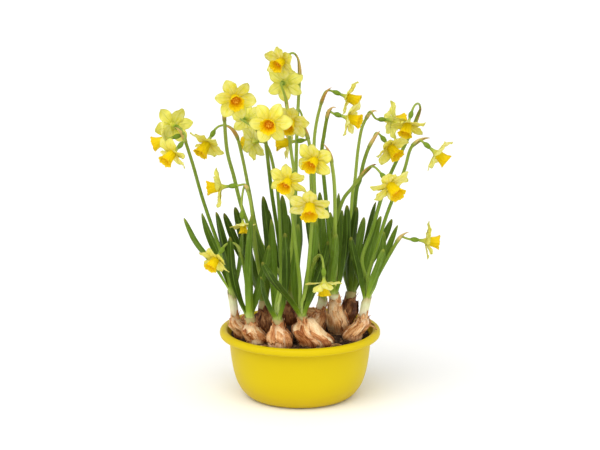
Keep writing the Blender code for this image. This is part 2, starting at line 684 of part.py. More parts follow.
def make_leaves(strands):
    for b in BULBS:
        mine = [s for s in strands if s.kind == "leaf" and s.bulb == b]
        mine.sort(key=lambda s: s.angle)
        n = len(mine)
        foot, top = sheath_axis(b)
        bm = bmesh.new()
        # the ring is cut into n leaf sectors with n plain sectors between them
        share = 0.62
        edges = []
        for k, s in enumerate(mine):
            half = math.pi / n * share
            edges += [s.angle - half, s.angle + half]
        rings = {}
        for level, (c, key) in enumerate(((foot, "low"), (top, "top"))):
            for r, rk in ((SHEATH_OUT, "out"), (SHEATH_IN, "in")):
                rings[key, rk] = [bm.verts.new(c + r * np.array([math.cos(a), math.sin(a), 0]))
                                  for a in edges]
        m = len(edges)
        leaf_faces = []
        for i in range(m):
            j = (i + 1) % m
            lo, li = rings["low", "out"], rings["low", "in"]
            to, ti = rings["top", "out"], rings["top", "in"]
            bm.faces.new((lo[i], lo[j], to[j], to[i]))
            bm.faces.new((li[j], li[i], ti[i], ti[j]))
            bm.faces.new((li[i], li[j], lo[j], lo[i]))
            face = bm.faces.new((to[i], to[j], ti[j], ti[i]))
            if i % 2 == 0:
                leaf_faces.append((mine[i // 2], face, (to[i], to[j], ti[j], ti[i])))
        for s, face, (oa, ob_, ib, ia) in leaf_faces:
            bm.faces.remove(face)
            shares = np.array([0.08, 0.2, 0.4, 0.62, 0.82, 0.95, 1.0])
            pts = s.at(shares)
            ahead = s.at(np.minimum(shares + 0.02, 1.0))
            behind = s.at(np.maximum(shares - 0.02, 0.0))
            tan = ahead - behind
            tan /= np.linalg.norm(tan, axis=1)[:, None]
            radial = np.array([math.cos(s.angle), math.sin(s.angle), 0.0])
            ringwise = np.array([-math.sin(s.angle), math.cos(s.angle), 0.0])
            flip = 1.0 if ringwise[0] >= 0 else -1.0
            prev = (oa, ob_, ib, ia)
            for k, (c, t) in enumerate(zip(pts, tan)):
                mix = 0.55 * smooth((shares[k] - 0.05) / 0.6)
                w = ringwise * (1 - mix) + np.array([flip, 0, 0]) * mix
                w = w - t * np.dot(w, t)
                w /= np.linalg.norm(w)
                nrm = np.cross(w, t)
                if np.dot(nrm, np.cross(ringwise, [0, 0, 1.0])) < 0:
                    nrm = -nrm
                wide = leaf_width(s, shares[k]) / 2
                th = (LEAF_T if k < len(pts) - 1 else 0.8 * MM) / 2
                if k == 0:
                    th = 0.8 * MM
                new = (bm.verts.new(c - w * wide + nrm * th), bm.verts.new(c + w * wide + nrm * th),
                       bm.verts.new(c + w * wide - nrm * th), bm.verts.new(c - w * wide - nrm * th))
                for i in range(4):
                    j = (i + 1) % 4
                    bm.faces.new((prev[i], prev[j], new[j], new[i]))
                prev = new
            bm.faces.new(prev)
        ob = finish_mesh("leaves_" + b, bm, (0.10, 0.22, 0.035), 0.45)
        set_origin(ob, foot)


def leaf_width(s, t):
    """Blade width: narrow at the sheath, full by a third, rounded at the tip."""
    full = s.width * MM
    base = 3.4 * MM
    w = base + (full - base) * float(smooth((t - 0.05) / 0.3))
    if t > 0.7:
        w *= math.sqrt(max(1 - ((t - 0.7) / 0.32) ** 2, 0.0))
    return max(w, 1.6 * MM)


def make_stalks(strands, blooms):
    for b in BULBS:
        mine = [s for s in strands if s.kind == "stalk" and s.bulb == b]
        cells = stalk_cells(b)
        foot, top = sheath_axis(b)
        foot = foot.copy()
        top = top + np.array([0, 0, 1.0 * MM])
        bm = bmesh.new()
        grid = {}

        def corner(c, level, x, y):
            key = (level, round(x / MM, 3), round(y / MM, 3))
            if key not in grid:
                grid[key] = bm.verts.new(c + np.array([x, y, 0.0]))
            return grid[key]

        count = {}
        hexes = {}
        turn = 0 if len(mine) == 2 else (0 if len(mine) == 1 else 30)
        for s in mine:
            cx, cy = cells[s.name]
            if len(mine) == 3:
                angs = [math.radians(30 + 60 * i) for i in range(6)]
            else:
                angs = [math.radians(30 + 60 * i) for i in range(6)]
            pts = [(cx + STALK_R * math.cos(a), cy + STALK_R * math.sin(a)) for a in angs]
            low = [corner(foot, 0, x, y) for x, y in pts]
            high = [corner(top, 1, x, y) for x, y in pts]
            hexes[s.name] = (low, high)
            for i in range(6):
                k = frozenset((low[i], low[(i + 1) % 6]))
                count[k] = count.get(k, 0) + 1
        for name, (low, high) in hexes.items():
            bm.faces.new(list(reversed(low)))
            for i in range(6):
                j = (i + 1) % 6
                if count[frozenset((low[i], low[j]))] == 1:
                    bm.faces.new((low[i], low[j], high[j], high[i]))
        for s in mine:
            low, high = hexes[s.name]
            face = bm.faces.new(high)
            mates = [f for f in blooms if f.stalk is s]
            first = min(mates, key=lambda f: angle_to(s, f))
            shares = np.linspace(0, 1, 9)[1:]
            body = s.at(shares)
            ped = first.pedicel(6)[1:]
            end = ped[-1]
            ovary = [end + first.d * OVARY_LEN * k for k in (0.35, 1.0)]
            pts = np.vstack([s.at(0.0), body, ped, ovary])
            radii = ([STALK_R] * (len(body) - 1) + [STALK_R * 1.12]
                     + [PEDICEL_R * 1.35] + [PEDICEL_R] * (len(ped) - 2) + [PEDICEL_R * 1.15]
                     + [OVARY_R, OVARY_R * 0.7])
            frames = carry_frames(pts, (1.0, 0.0, 0.0))[1:]
            before = set(bm.faces)
            cap, ring = grow(bm, face, pts[1:], radii, frames)
            # further flowers of the stalk leave from side faces under the bend
            sides = [f for f in bm.faces if f not in before and len(f.verts) == 4]
            used = set()
            for f in mates:
                if f is first:
                    continue
                fp = f.pedicel(7)
                lead = np.array(f.centre()) - s.at(1.0)[0]
                lead /= np.linalg.norm(lead)
                best, score = None, -9
                seg_mid = s.at(0.955)[0]
                for q in sides:
                    if q in used or not q.is_valid:
                        continue
                    c = np.array(q.calc_center_median())
                    if np.linalg.norm(c - seg_mid) > 4.5 * MM + 0.045 * seg_len(s):
                        continue
                    out = c - seg_mid
                    val = float(np.dot(out / np.linalg.norm(out), lead))
                    if val > score:
                        best, score = q, val
                used.add(best)
                c0 = np.array(best.calc_center_median())
                t0 = (s.at(1.0)[0] - s.at(0.96)[0])
                t0 /= np.linalg.norm(t0)
                outw = c0 - nearest_on(s, c0)
                outw /= np.linalg.norm(outw)
                endp = f.centre() - f.d * f.back
                reach = np.linalg.norm(endp - c0)
                curve = bezier(c0, c0 + (0.5 * outw + 0.9 * t0) * 0.35 * reach,
                               endp - f.d * (0.42 * reach + 2 * MM), endp,
                               np.linspace(0, 1, 6))
                ov = [endp + f.d * OVARY_LEN * k for k in (0.35, 1.0)]
                run = np.vstack([curve, ov])
                rr = [PEDICEL_R * 1.25] * (len(curve) - 1) + [OVARY_R, OVARY_R * 0.7]
                u0 = np.cross(outw, t0)
                grow(bm, best, run[1:], rr, carry_frames(run, u0)[1:])
        ob = finish_mesh("stalks_" + b, bm, (0.22, 0.38, 0.06), 0.45)
        set_origin(ob, foot)


def seg_len(s):
    p = s.samples()
    return float(np.linalg.norm(np.diff(p, axis=0), axis=1).sum())


def nearest_on(s, p):
    q = s.at(np.linspace(0.8, 1, 41))
    return q[np.argmin(np.linalg.norm(q - p, axis=1))]


def angle_to(s, f):
    t = s.at(1.0)[0] - s.at(0.96)[0]
    d = f.centre() - f.d * f.back - s.at(1.0)[0]
    return -float(np.dot(t / np.linalg.norm(t), d / np.linalg.norm(d)))


def make_flower(f):
    """Tube, six petals and a flared cup, as the one piece a daffodil has."""
    bm = bmesh.new()
    c, d, u, v, k = f.centre(), f.d, f.u, f.v, f.size

    def ring(r, z, turn=0.0):
        return [bm.verts.new(c + d * z + r * (math.cos(math.radians(60 * i + 30 + turn)) * u
                                              + math.sin(math.radians(60 * i + 30 + turn)) * v))
                for i in range(6)]

    t = 1.0 * MM
    rings = [ring(1.8 * MM * k, -TUBE_LEN * k),
             ring(4.0 * MM * k, -0.5 * t), ring(4.2 * MM * k, 0.7 * t),
             ring(CUP_R0 * k * 1.05, 0.28 * CUP_LEN * k), ring(CUP_R1 * k, CUP_LEN * k),
             ring(CUP_R1 * k - 1.1 * MM, CUP_LEN * k), ring(CUP_R0 * k * 0.85, 0.3 * CUP_LEN * k)]
    bm.faces.new(list(reversed(rings[0])))
    bm.faces.new(rings[-1])
    petals = []
    for a, b in zip(rings, rings[1:]):
        for i in range(6):
            j = (i + 1) % 6
            q = bm.faces.new((a[i], a[j], b[j], b[i]))
            if a is rings[1]:
                petals.append((i, q, (a[i], a[j], b[j], b[i])))
    for i, q, prev in petals:
        bm.faces.remove(q)
        ang = math.radians(60 * i + 60)
        out = math.cos(ang) * u + math.sin(ang) * v
        side = -math.sin(ang) * u + math.cos(ang) * v
        lift = 0.12 if i % 2 == 0 else 0.02
        for r, w in ((12.5, 5.6), (22.0, 1.2)):
            pc = c + out * r * k * MM + d * (lift * r * k * MM + 0.1 * MM)
            ww, th = w * k * MM, 0.5 * MM if r < 20 else 0.35 * MM
            new = tuple(bm.verts.new(p) for p in (pc - side * ww - d * th, pc + side * ww - d * th,
                                                  pc + side * ww + d * th, pc - side * ww + d * th))
            for m in range(4):
                n = (m + 1) % 4
                bm.faces.new((prev[m], prev[n], new[n], new[m]))
            prev = new
        bm.faces.new(prev)
    ob = finish_mesh("flower_" + f.name, bm, (0.80, 0.70, 0.16), 0.5)
    set_origin(ob, c)


def main():
    clear_scene()
    make_bowl()
    make_bulbs()
    make_soil()
    strands, blooms = arrange()
    make_leaves(strands)
    make_stalks(strands, blooms)
    for f in blooms:
        make_flower(f)
    return strands, blooms


main()
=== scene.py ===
"""Looks for the bulb plants in a bowl: fine bowl, soil, bulbs and their papery
skins, leaves, stalks and flowers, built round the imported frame."""
import math

import bpy
import numpy as np
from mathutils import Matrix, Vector


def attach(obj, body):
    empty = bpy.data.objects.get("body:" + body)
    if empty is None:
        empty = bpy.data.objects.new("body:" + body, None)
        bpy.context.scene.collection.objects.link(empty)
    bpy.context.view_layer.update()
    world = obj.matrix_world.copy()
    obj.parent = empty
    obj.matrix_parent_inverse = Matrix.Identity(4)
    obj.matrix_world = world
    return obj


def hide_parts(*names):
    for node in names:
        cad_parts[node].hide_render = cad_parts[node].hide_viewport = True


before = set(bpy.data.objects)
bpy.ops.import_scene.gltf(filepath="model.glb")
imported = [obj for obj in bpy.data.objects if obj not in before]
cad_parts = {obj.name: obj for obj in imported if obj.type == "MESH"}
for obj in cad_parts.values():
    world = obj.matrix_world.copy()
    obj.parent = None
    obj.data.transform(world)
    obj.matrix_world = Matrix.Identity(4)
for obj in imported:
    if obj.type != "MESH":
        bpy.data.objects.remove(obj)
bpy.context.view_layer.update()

# The layout below is the part's own: the same tables and the same easing give
# the same places.

# ---------------------------------------------------------------- dimensions
MM = 0.001
GAP = 0.3 * MM                 # between touching pieces

BOWL_SEGMENTS = 36
BASE_R = 47.5 * MM               # flat underside
RIM_R = 81.5 * MM              # outside of the rolled rim
MOUTH_R = 73 * MM              # opening inside the rim
RIM_Z = 70 * MM                # top of the rim
WALL = 2.0 * MM
SOIL_Z = 66 * MM               # general level of the soil

BULB_Z0 = 52 * MM              # underside of the bulbs, buried in the soil
NECK_R = 7.2 * MM              # flat top of a bulb's neck
SHEATH_OUT = 6.7 * MM          # leaf sheath
SHEATH_IN = 4.7 * MM
STALK_R = 1.9 * MM             # flower stalk
PEDICEL_R = 1.1 * MM
OVARY_R = 2.5 * MM
OVARY_LEN = 7.5 * MM

TUBE_LEN = 8.0 * MM            # flower: hub to the back of its tube
PETAL_REACH = 22 * MM          # hub axis to petal tip
CUP_LEN = 14.5 * MM
CUP_R0 = 4.6 * MM
CUP_R1 = 8.2 * MM
LEAF_T = 1.2 * MM

# The plants are drawn on a front elevation sheet, e across and h up, one unit
# being close to 1 mm. Each point is carried to its own depth along the line of
# sight of a viewer standing off the front, so the elevation holds whatever
# depth an element takes up.
EYE = np.array([0.0, -1.95, 0.626])
LOOK_AT = np.array([0.0, 0.0, 0.1768])
SHEET_UNIT = 1.0038 * MM
SHEET_H0 = 180.0

FWD = (LOOK_AT - EYE) / np.linalg.norm(LOOK_AT - EYE)
SIDE = np.array([1.0, 0.0, 0.0])
UPW = np.cross(SIDE, FWD)
SHEET_D = float(np.linalg.norm(LOOK_AT - EYE))


def place(e, h, y):
    """Sheet point (e, h) carried to depth y (metres)."""
    e = np.asarray(e, float)
    h = np.asarray(h, float)
    y = np.asarray(y, float)
    ray = (FWD * SHEET_D + np.multiply.outer(e * SHEET_UNIT, SIDE)
           + np.multiply.outer((h - SHEET_H0) * SHEET_UNIT, UPW))
    t = (y - EYE[1]) / ray[..., 1]
    return EYE + ray * t[..., None]


# ------------------------------------------------------------------- design
# bulb: x, y (mm), belly half-widths along x and y, neck top z, neck sheet e,
# neck y, sheath height (mm)
BULBS = {
    "01": (-56, -12, 10.5, 10.5, 86, -65, -15, 27),
    "02": (-43, -36, 11.0, 11.0, 85, -49, -38, 8),
    "03": (-36, 7, 13.0, 13.0, 87, -36, 8, 9),
    "04": (-20, -50, 12.5, 12.5, 88, -22, -50, 6),
    "05": (-12, 33, 14.0, 14.0, 86, -11, 33, 9),
    "06": (16, -46, 18.0, 14.0, 90, 3, -44, 5),
    "07": (39.5, -5.5, 10.5, 10.5, 102, 35, -10, 7),
    "08": (14, 1, 11.5, 11.5, 88, 21, 6, 12),
    "09": (52.5, -22, 10.5, 10.5, 87, 63, -20, 19),
    "10": (42, 32, 13.5, 13.5, 92, 50, 30, 8),
}

# stalk: bulb, sheet points from low to high (the last is the bend under the
# flowers), depth at the top (mm)
STALKS = {
    "a": ("01", [(-92, 190), (-100, 215), (-107, 240), (-116, 268)], -14),
    "b": ("03", [(-47, 165), (-59, 200), (-66, 228), (-73, 255), (-76, 291)], -6),
    "c": ("05", [(-40, 165), (-51, 215), (-56, 240), (-61, 262), (-64, 271)], 16),
    "d": ("03", [(-41, 135), (-45, 165), (-49, 200), (-53, 217)], -24),
    "e": ("02", [(-52, 105), (-54, 125), (-57, 143), (-61, 156)], -50),
    "f": ("05", [(-18, 135), (-22, 170), (-28, 210), (-31, 235), (-35, 270)], -14),
    "g": ("04", [(-20, 120), (-19, 155), (-22, 210), (-25, 230), (-30, 252), (-38, 268)], 22),
    "h": ("05", [(-8, 140), (-5, 190), (-4, 235), (-3, 275), (-1, 315), (0, 333)], 34),
    "i": ("04", [(-18, 110), (-8, 160), (-6, 210), (-6, 233), (-9, 255), (-13, 300)], 10),
    "j": ("06", [(0, 120), (-4, 155), (-8, 195), (-10, 219)], -40),
    "k": ("06", [(5, 110), (9, 145), (12, 185), (12, 200)], -50),
    "l": ("06", [(6, 98), (8, 115), (11, 135), (15, 145)], -44),
    "m": ("08", [(17, 145), (12, 205), (10, 255), (7, 270)], 8),
    "n": ("08", [(19, 145), (15, 205), (14, 258), (17, 285), (23, 308)], 26),
    "o": ("07", [(32, 135), (26, 205), (22, 250), (24, 270), (28, 293)], -16),
    "p": ("07", [(36, 135), (35, 165), (35, 200), (34, 225), (31, 247)], -34),
    "q": ("10", [(50, 150), (52, 205), (55, 225), (58, 255), (62, 277), (69, 292)], 34),
    "r": ("10", [(52, 150), (56, 210), (60, 225), (63, 240), (67, 253), (71, 262)], 6),
    "s": ("08", [(22, 130), (28, 155), (35, 180), (43, 205), (52, 217), (62, 230)], -26),
    "t": ("09", [(62, 145), (72, 175), (84, 215), (97, 245), (105, 260), (118, 289)], 16),
    "u": ("09", [(68, 130), (76, 155), (85, 185), (92, 204), (104, 234), (110, 255), (116, 263)], -10),
    "v": ("09", [(69, 112), (78, 130), (88, 148), (98, 165)], -22),
}

# flower: stalk, sheet centre (e, h), facing azimuth (0 to the viewer, 90 to the
# right), facing elevation, size, how far it stands back from the bend (mm),
# turn of its petals about its own axis (degrees)
FLOWERS = {
    "01": ("b", (-65, 307), 8, -14, 1.0, 0, -6),
    "02": ("a", (-134, 265), -92, -18, 0.95, 0, 30),
    "03": ("a", (-127, 252), -45, -34, 0.92, -8, 15),
    "04": ("a", (-127, 279), -158, -4, 0.98, 8, -5),
    "05": ("c", (-93, 262), -42, -46, 0.98, 0, 25),
    "06": ("d", (-79, 218), -90, -5, 0.95, 0, 30),
    "07": ("d", (-57, 181), 15, -68, 0.62, 0, 0),
    "08": ("e", (-84, 146), -38, -40, 0.84, 0, 24),
    "09": ("h", (-18, 344), -32, -20, 0.88, 0, 30),
    "10": ("i", (-15, 322), 168, -8, 0.95, 0, 32),
    "11": ("f", (-30, 282), -8, -6, 1.0, 0, 3),
    "12": ("m", (-9, 284), -20, -28, 0.95, 0, 8),
    "13": ("m", (-11, 263), -86, -6, 0.92, 0, 15),
    "14": ("g", (-53, 286), 160, -10, 0.9, 10, 20),
    "15": ("g", (-46, 263), -128, -14, 0.9, -8, -10),
    "16": ("p", (15, 245), -28, -22, 0.95, 0, 22),
    "17": ("j", (-12, 224), -20, -22, 0.92, 0, 28),
    "18": ("k", (10, 200), -4, -38, 1.05, 0, 30),
    "19": ("n", (47, 308), 78, -20, 0.92, 0, 30),
    "20": ("o", (48, 287), 66, -12, 0.9, 0, 0),
    "21": ("q", (92, 285), 112, -6, 0.95, 0, 12),
    "22": ("t", (108, 281), -25, -48, 0.9, -14, 10),
    "23": ("r", (90, 258), 42, -36, 0.95, 6, 20),
    "24": ("u", (136, 252), 76, -38, 0.95, 0, 30),
    "25": ("s", (90, 220), 38, -34, 1.05, 0, 2),
    "26": ("v", (126, 164), 88, -6, 0.92, 0, 30),
    "27": ("l", (24, 122), 20, -84, 0.85, -20, 10),
}

# leaf: bulb, tip sheet point (e, h), sideways bow (mm), depth at the tip (mm),
# width (mm)
LEAVES = [
    ("01", (-116, 187), -6, -26, 5.5), ("01", (-98, 192), -4, -8, 8.0),
    ("01", (-84, 193), -2, -34, 8.5), ("01", (-57, 173), 3, -16, 7.5),
    ("02", (-70, 168), -3, -56, 8.0), ("02", (-48, 190), -2, -46, 8.5),
    ("02", (-31, 160), 2, -60, 7.5),
    ("03", (-76, 192), -3, 16, 8.5), ("03", (-65, 198), -2, -6, 9.0),
    ("03", (-48, 178), 0, 34, 8.5), ("03", (-37, 209), 1, 6, 9.0),
    ("04", (-40, 128), -4, -66, 7.5), ("04", (-15, 172), 1, -62, 8.5),
    ("04", (-29, 186), -1, -44, 8.0),
    ("05", (-18, 210), -1, 22, 9.0), ("05", (-32, 196), -2, 52, 8.5),
    ("05", (-2, 200), 1, 58, 8.5), ("05", (-12, 190), 0, 40, 8.0),
    ("06", (-2, 181), -1, -34, 8.5), ("06", (-38, 143), -5, -76, 7.5),
    ("06", (16, 186), 1, -30, 8.5), ("06", (28, 164), 3, -40, 7.5),
    ("07", (39, 212), 1, -12, 8.5), ("07", (36, 171), 2, -52, 9.0),
    ("07", (47, 200), 2, -30, 8.0), ("07", (22, 206), -2, -22, 8.0),
    ("08", (20, 213), 0, 14, 9.0), ("08", (6, 196), -2, 2, 8.5),
    ("08", (30, 193), 2, 26, 8.0), ("08", (10, 180), -1, 32, 8.0),
    ("09", (84, 156), 3, -28, 8.5), ("09", (83, 174), 2, -10, 8.0),
    ("09", (51, 168), -2, -30, 8.0), ("09", (81, 189), 1, 10, 8.5),
    ("09", (98, 180), 4, 4, 7.5),
    ("10", (57, 198), 0, 16, 8.5), ("10", (76, 203), 2, 34, 9.0),
    ("10", (64, 188), 1, 56, 8.5), ("10", (42, 195), -2, 50, 8.5),
    ("10", (92, 186), 4, 44, 8.0),
]


# ------------------------------------------------------------------ curves
def catmull(points, s):
    """Centripetal-free Catmull-Rom through points, by arc share s in 0..1."""
    p = np.asarray(points, float)
    seg = np.linalg.norm(np.diff(p, axis=0), axis=1)
    knots = np.concatenate([[0], np.cumsum(seg)]) / seg.sum()
    ext = np.vstack([2 * p[0] - p[1], p, 2 * p[-1] - p[-2]])
    out = []
    for v in np.atleast_1d(s):
        i = min(max(int(np.searchsorted(knots, v, side="right")) - 1, 0), len(p) - 2)
        t = (v - knots[i]) / (knots[i + 1] - knots[i])
        a, b, c, d = ext[i:i + 4]
        out.append(0.5 * (2 * b + (c - a) * t + (2 * a - 5 * b + 4 * c - d) * t * t
                          + (3 * b - a - 3 * c + d) * t ** 3))
    return np.array(out)


def bezier(p0, p1, p2, p3, s):
    s = np.asarray(s, float)[:, None]
    return ((1 - s) ** 3 * p0 + 3 * (1 - s) ** 2 * s * p1
            + 3 * (1 - s) * s ** 2 * p2 + s ** 3 * p3)


def facing(az, el):
    a, b = math.radians(az), math.radians(el)
    return np.array([math.sin(a) * math.cos(b), -math.cos(a) * math.cos(b), math.sin(b)])


def to_sheet(p):
    d = np.asarray(p, float) - EYE
    k = SHEET_D / (d @ FWD)                   # works on one point or many
    return d @ SIDE * k / SHEET_UNIT, d @ UPW * k / SHEET_UNIT + SHEET_H0


def neck_top(b):
    x, y, rx, ry, z, e, ny, sh = BULBS[b]
    h = 100.0
    for _ in range(20):                       # sheet height whose z is the neck's
        p = place(e, h, ny * MM)
        h += (z * MM - p[2]) / MM
    return place(e, h, ny * MM), h


def sheath_axis(b):
    """Foot and top of the sheath's axis: it leans the way the neck leans."""
    x, y, rx, ry, z, e, ny, sh = BULBS[b]
    foot, h = neck_top(b)
    lean = np.array([(foot[0] - x * MM) * 0.35, (foot[1] - y * MM) * 0.35, sh * MM])
    lean[:2] *= min(1.0, 0.22 * sh * MM / max(np.linalg.norm(lean[:2]), 1e-9))
    return foot + np.array([0, 0, GAP]), foot + np.array([0, 0, GAP]) + lean


def smooth(t):
    t = np.clip(t, 0, 1)
    return t * t * (3 - 2 * t)


class Strand:
    """A leaf or a stalk: a sheet curve with a depth that can be eased."""

    def __init__(self, kind, name, bulb, foot, pts, y1, radius, n):
        self.kind, self.name, self.bulb = kind, name, bulb
        self.y0, self.y1 = foot[1], y1 * MM
        self.pts = [to_sheet(foot)] + list(pts)
        self.a = self.b = self.flare = 0.0
        self.s = np.linspace(0, 1, n)
        self.eh = catmull(self.pts, self.s)
        self.radius = radius(self.s)

    def depth(self, s):
        return (self.y0 + (self.y1 - self.y0) * np.power(s, 1.4)
                + self.a * s ** 2 + self.b * 6.75 * s ** 2 * (1 - s)
                + self.flare * smooth(s / 0.22) * (1 - 0.5 * s))

    def at(self, s):
        s = np.atleast_1d(s)
        eh = catmull(self.pts, s)
        return place(eh[:, 0], eh[:, 1], self.depth(s))

    def samples(self):
        return place(self.eh[:, 0], self.eh[:, 1], self.depth(self.s))


def perp(d):
    u = np.cross(d, [0, 0, 1.0])
    if np.linalg.norm(u) < 0.15:
        u = np.cross(d, [0, 1.0, 0])
    u /= np.linalg.norm(u)
    return u, np.cross(d, u)


class Bloom:
    def __init__(self, name, stalk, eh, az, el, size, back, roll):
        self.name, self.stalk, self.eh, self.size = name, stalk, eh, size
        self.d = facing(az, el)
        self.c = back * MM
        self.back = (TUBE_LEN * size + GAP + OVARY_LEN)
        u, v = perp(self.d)
        a = math.radians(roll)
        u, v = u * math.cos(a) + v * math.sin(a), v * math.cos(a) - u * math.sin(a)
        self.u, self.v = u, v
        off, rad = [np.zeros(3)], [4.0 * MM]
        for k in (0.25, 0.6, 0.95):
            off.append(self.d * CUP_LEN * size * k)
            rad.append((CUP_R0 + (CUP_R1 - CUP_R0) * k) * size + 0.6 * MM)
        for i in range(6):
            a = math.radians(60 * i)
            for r, w in ((9, 4.2), (14, 4.2), (19, 3.2)):
                off.append((u * math.cos(a) + v * math.sin(a)) * r * size * MM
                           + self.d * size * 0.10 * r * MM)
                rad.append(w * MM)
        off.append(-self.d * TUBE_LEN * size * 0.6)
        rad.append(2.6 * MM)
        self.off, self.rad = np.array(off), np.array(rad)

    def centre(self):
        y = self.stalk.depth(1.0) + self.d[1] * (self.back + 6 * MM) + self.c
        return place(self.eh[0], self.eh[1], y)

    def pedicel(self, n):
        """From the stalk's bend to the foot of the ovary, and its axis."""
        top = self.stalk.at(1.0)[0]
        below = self.stalk.at(0.96)[0]
        t = (top - below) / np.linalg.norm(top - below)
        end = self.centre() - self.d * self.back
        reach = np.linalg.norm(end - top)
        pull = 0.42 * reach + 2 * MM
        return bezier(top, top + t * pull, end - self.d * pull, end, np.linspace(0, 1, n))


def stand(strands, blooms, n, fixed):
    """Every sample point where it now stands."""
    out = [s.samples() for s in strands]
    for f in blooms:
        out.append(f.centre() + f.off)
        out.append(f.pedicel(n))
    out.append(np.array(fixed))
    return np.vstack(out)


def arrange():
    """Ease every leaf, stalk and flower in depth until they stand clear."""
    strands, blooms = [], []
    for i, (b, tip, bow, y1, w) in enumerate(LEAVES):
        foot, top = sheath_axis(b)
        mates = [k for k, leaf in enumerate(LEAVES) if leaf[0] == b]
        ang = leaf_angles(b)[i]
        start = top + SHEATH_MID * np.array([math.cos(ang), math.sin(ang), 0])
        e0, h0 = to_sheet(start)
        e1, h1 = tip
        mid = (e0 + (e1 - e0) * 0.42 + bow, h0 + (h1 - h0) * 0.55)
        out = FLARE * math.cos(ang)
        low = (e0 + (e1 - e0) * 0.10 + bow * 0.5 + out, h0 + (h1 - h0) * 0.22)
        mid = (mid[0] + out * 0.6, mid[1])
        st = Strand("leaf", "%02d" % i, b, start, [low, mid, tip], y1,
                    lambda s, w=w: (0.9 + (w * 0.5 - 1.2) * smooth(s / 0.35)
                                    * (1 - 0.45 * smooth((s - 0.75) / 0.25))) * MM, 34)
        st.width = w
        st.angle = ang
        st.flare = FLARE * math.sin(ang) * MM
        strands.append(st)
    by_name = {}
    for name, (b, pts, y1) in STALKS.items():
        foot, top = sheath_axis(b)
        cell = stalk_cells(b)[name]
        start = top + np.array([cell[0], cell[1], 1.0 * MM])
        e0, h0 = to_sheet(start)
        k = 12.0 / (pts[0][1] - h0)
        first = (e0 + (pts[0][0] - e0) * k * 0.45, h0 + 12.0)
        st = Strand("stalk", name, b, start, [first] + pts, y1,
                    lambda s: np.full(s.shape, STALK_R + 0.5 * MM), 64)
        strands.append(st)
        by_name[name] = st
    for name, (stalk, eh, az, el, size, back, roll) in FLOWERS.items():
        blooms.append(Bloom(name, by_name[stalk], eh, az, el, size, back, roll))

    index = {id(s): i for i, s in enumerate(strands)}
    elem, share, rad, kind, bulb = [], [], [], [], []
    for i, s in enumerate(strands):
        n = len(s.s)
        elem += [i] * n
        share += list(s.s)
        rad += list(s.radius)
        kind += [0 if s.kind == "leaf" else 1] * n
        bulb += [int(s.bulb)] * n
    NP = 7
    for j, f in enumerate(blooms):
        n = len(f.rad)
        elem += [len(strands) + j] * (n + NP)
        share += [1.0] * (n + NP)
        rad += list(f.rad) + [PEDICEL_R + 0.7 * MM] * (NP - 2) + [OVARY_R + 0.4 * MM] * 2
        kind += [2] * n + [3] * NP
        bulb += [int(f.stalk.bulb)] * (n + NP)
    fixed, fixed_r = [], []
    for b, (x, y, rx, ry, z, e, ny, sh) in BULBS.items():
        foot, top = sheath_axis(b)
        base = np.array([x * MM, y * MM, 66 * MM])
        for k, r in ((0.0, max(rx, ry)), (0.35, 0.8 * max(rx, ry)), (0.7, 9.5), (1.0, 8.0)):
            fixed.append(base + (foot - base) * k)
            fixed_r.append((r + 1) * MM)
            elem.append(-1)
            bulb.append(int(b))
            kind.append(4)
            share.append(0.0)
        for k in np.linspace(0, 1, max(2, int(sh / 5))):
            fixed.append(foot + (top - foot) * k)
            fixed_r.append(SHEATH_OUT + 0.6 * MM)
            elem.append(-1)
            bulb.append(int(b))
            kind.append(4)
            share.append(0.0)
    rad += fixed_r
    elem, share, rad, kind, bulb = map(np.array, (elem, share, rad, kind, bulb))
    length = np.array([seg_len(s) for s in strands] + [1.0] * (len(blooms) + 1))
    run = share * length[elem]
    n = len(elem)
    owner = np.full(len(strands) + len(blooms) + 1, -9)
    for j, f in enumerate(blooms):
        owner[len(strands) + j] = index[id(f.stalk)]
    allow = elem[:, None] != elem[None, :]
    same = bulb[:, None] == bulb[None, :]
    strandlike = kind <= 1
    both = strandlike[:, None] & strandlike[None, :] & same
    lowpair = both & ((run[:, None] < 13 * MM) | (run[None, :] < 13 * MM))
    allow &= ~lowpair
    allow &= ~(same & ((kind[:, None] == 4) | (kind[None, :] == 4)))
    own = owner[elem]
    mine = (own[:, None] == elem[None, :])            # flower against its own stalk
    near = (share[None, :] > 0.93) | (kind[:, None] == 3)
    skip = mine & near
    allow &= ~(skip | skip.T)
    sib = (own[:, None] == own[None, :]) & (own[:, None] >= 0)
    sib &= (kind[:, None] == 3) & (kind[None, :] == 3)
    allow &= ~sib
    allow = np.triu(allow, 1)
    # only pairs that meet in the elevation can ever touch
    P = stand(strands, blooms, NP, fixed)
    flat = np.column_stack(to_sheet(P)) * SHEET_UNIT
    q = (flat ** 2).sum(1)
    apart = q[:, None] + q[None, :] - 2 * (flat @ flat.T)
    allow &= apart < (rad[:, None] + rad[None, :] + 5 * MM) ** 2
    CI, CJ = np.nonzero(allow)
    CR = (rad[CI] + rad[CJ] + 0.5 * MM) ** 2

    wa, wb = share ** 2, 6.75 * share ** 2 * (1 - share)
    moved = len(strands) + len(blooms)
    for step in range(RELAX_STEPS):
        P = stand(strands, blooms, NP, fixed)
        D2 = ((P[CI] - P[CJ]) ** 2).sum(1)
        hit = D2 < CR
        I, J, D2, RR = CI[hit], CJ[hit], D2[hit], CR[hit]
        if len(I) == 0:
            break
        dy = P[I, 1] - P[J, 1]
        dxz2 = np.maximum(D2 - dy ** 2, 0)
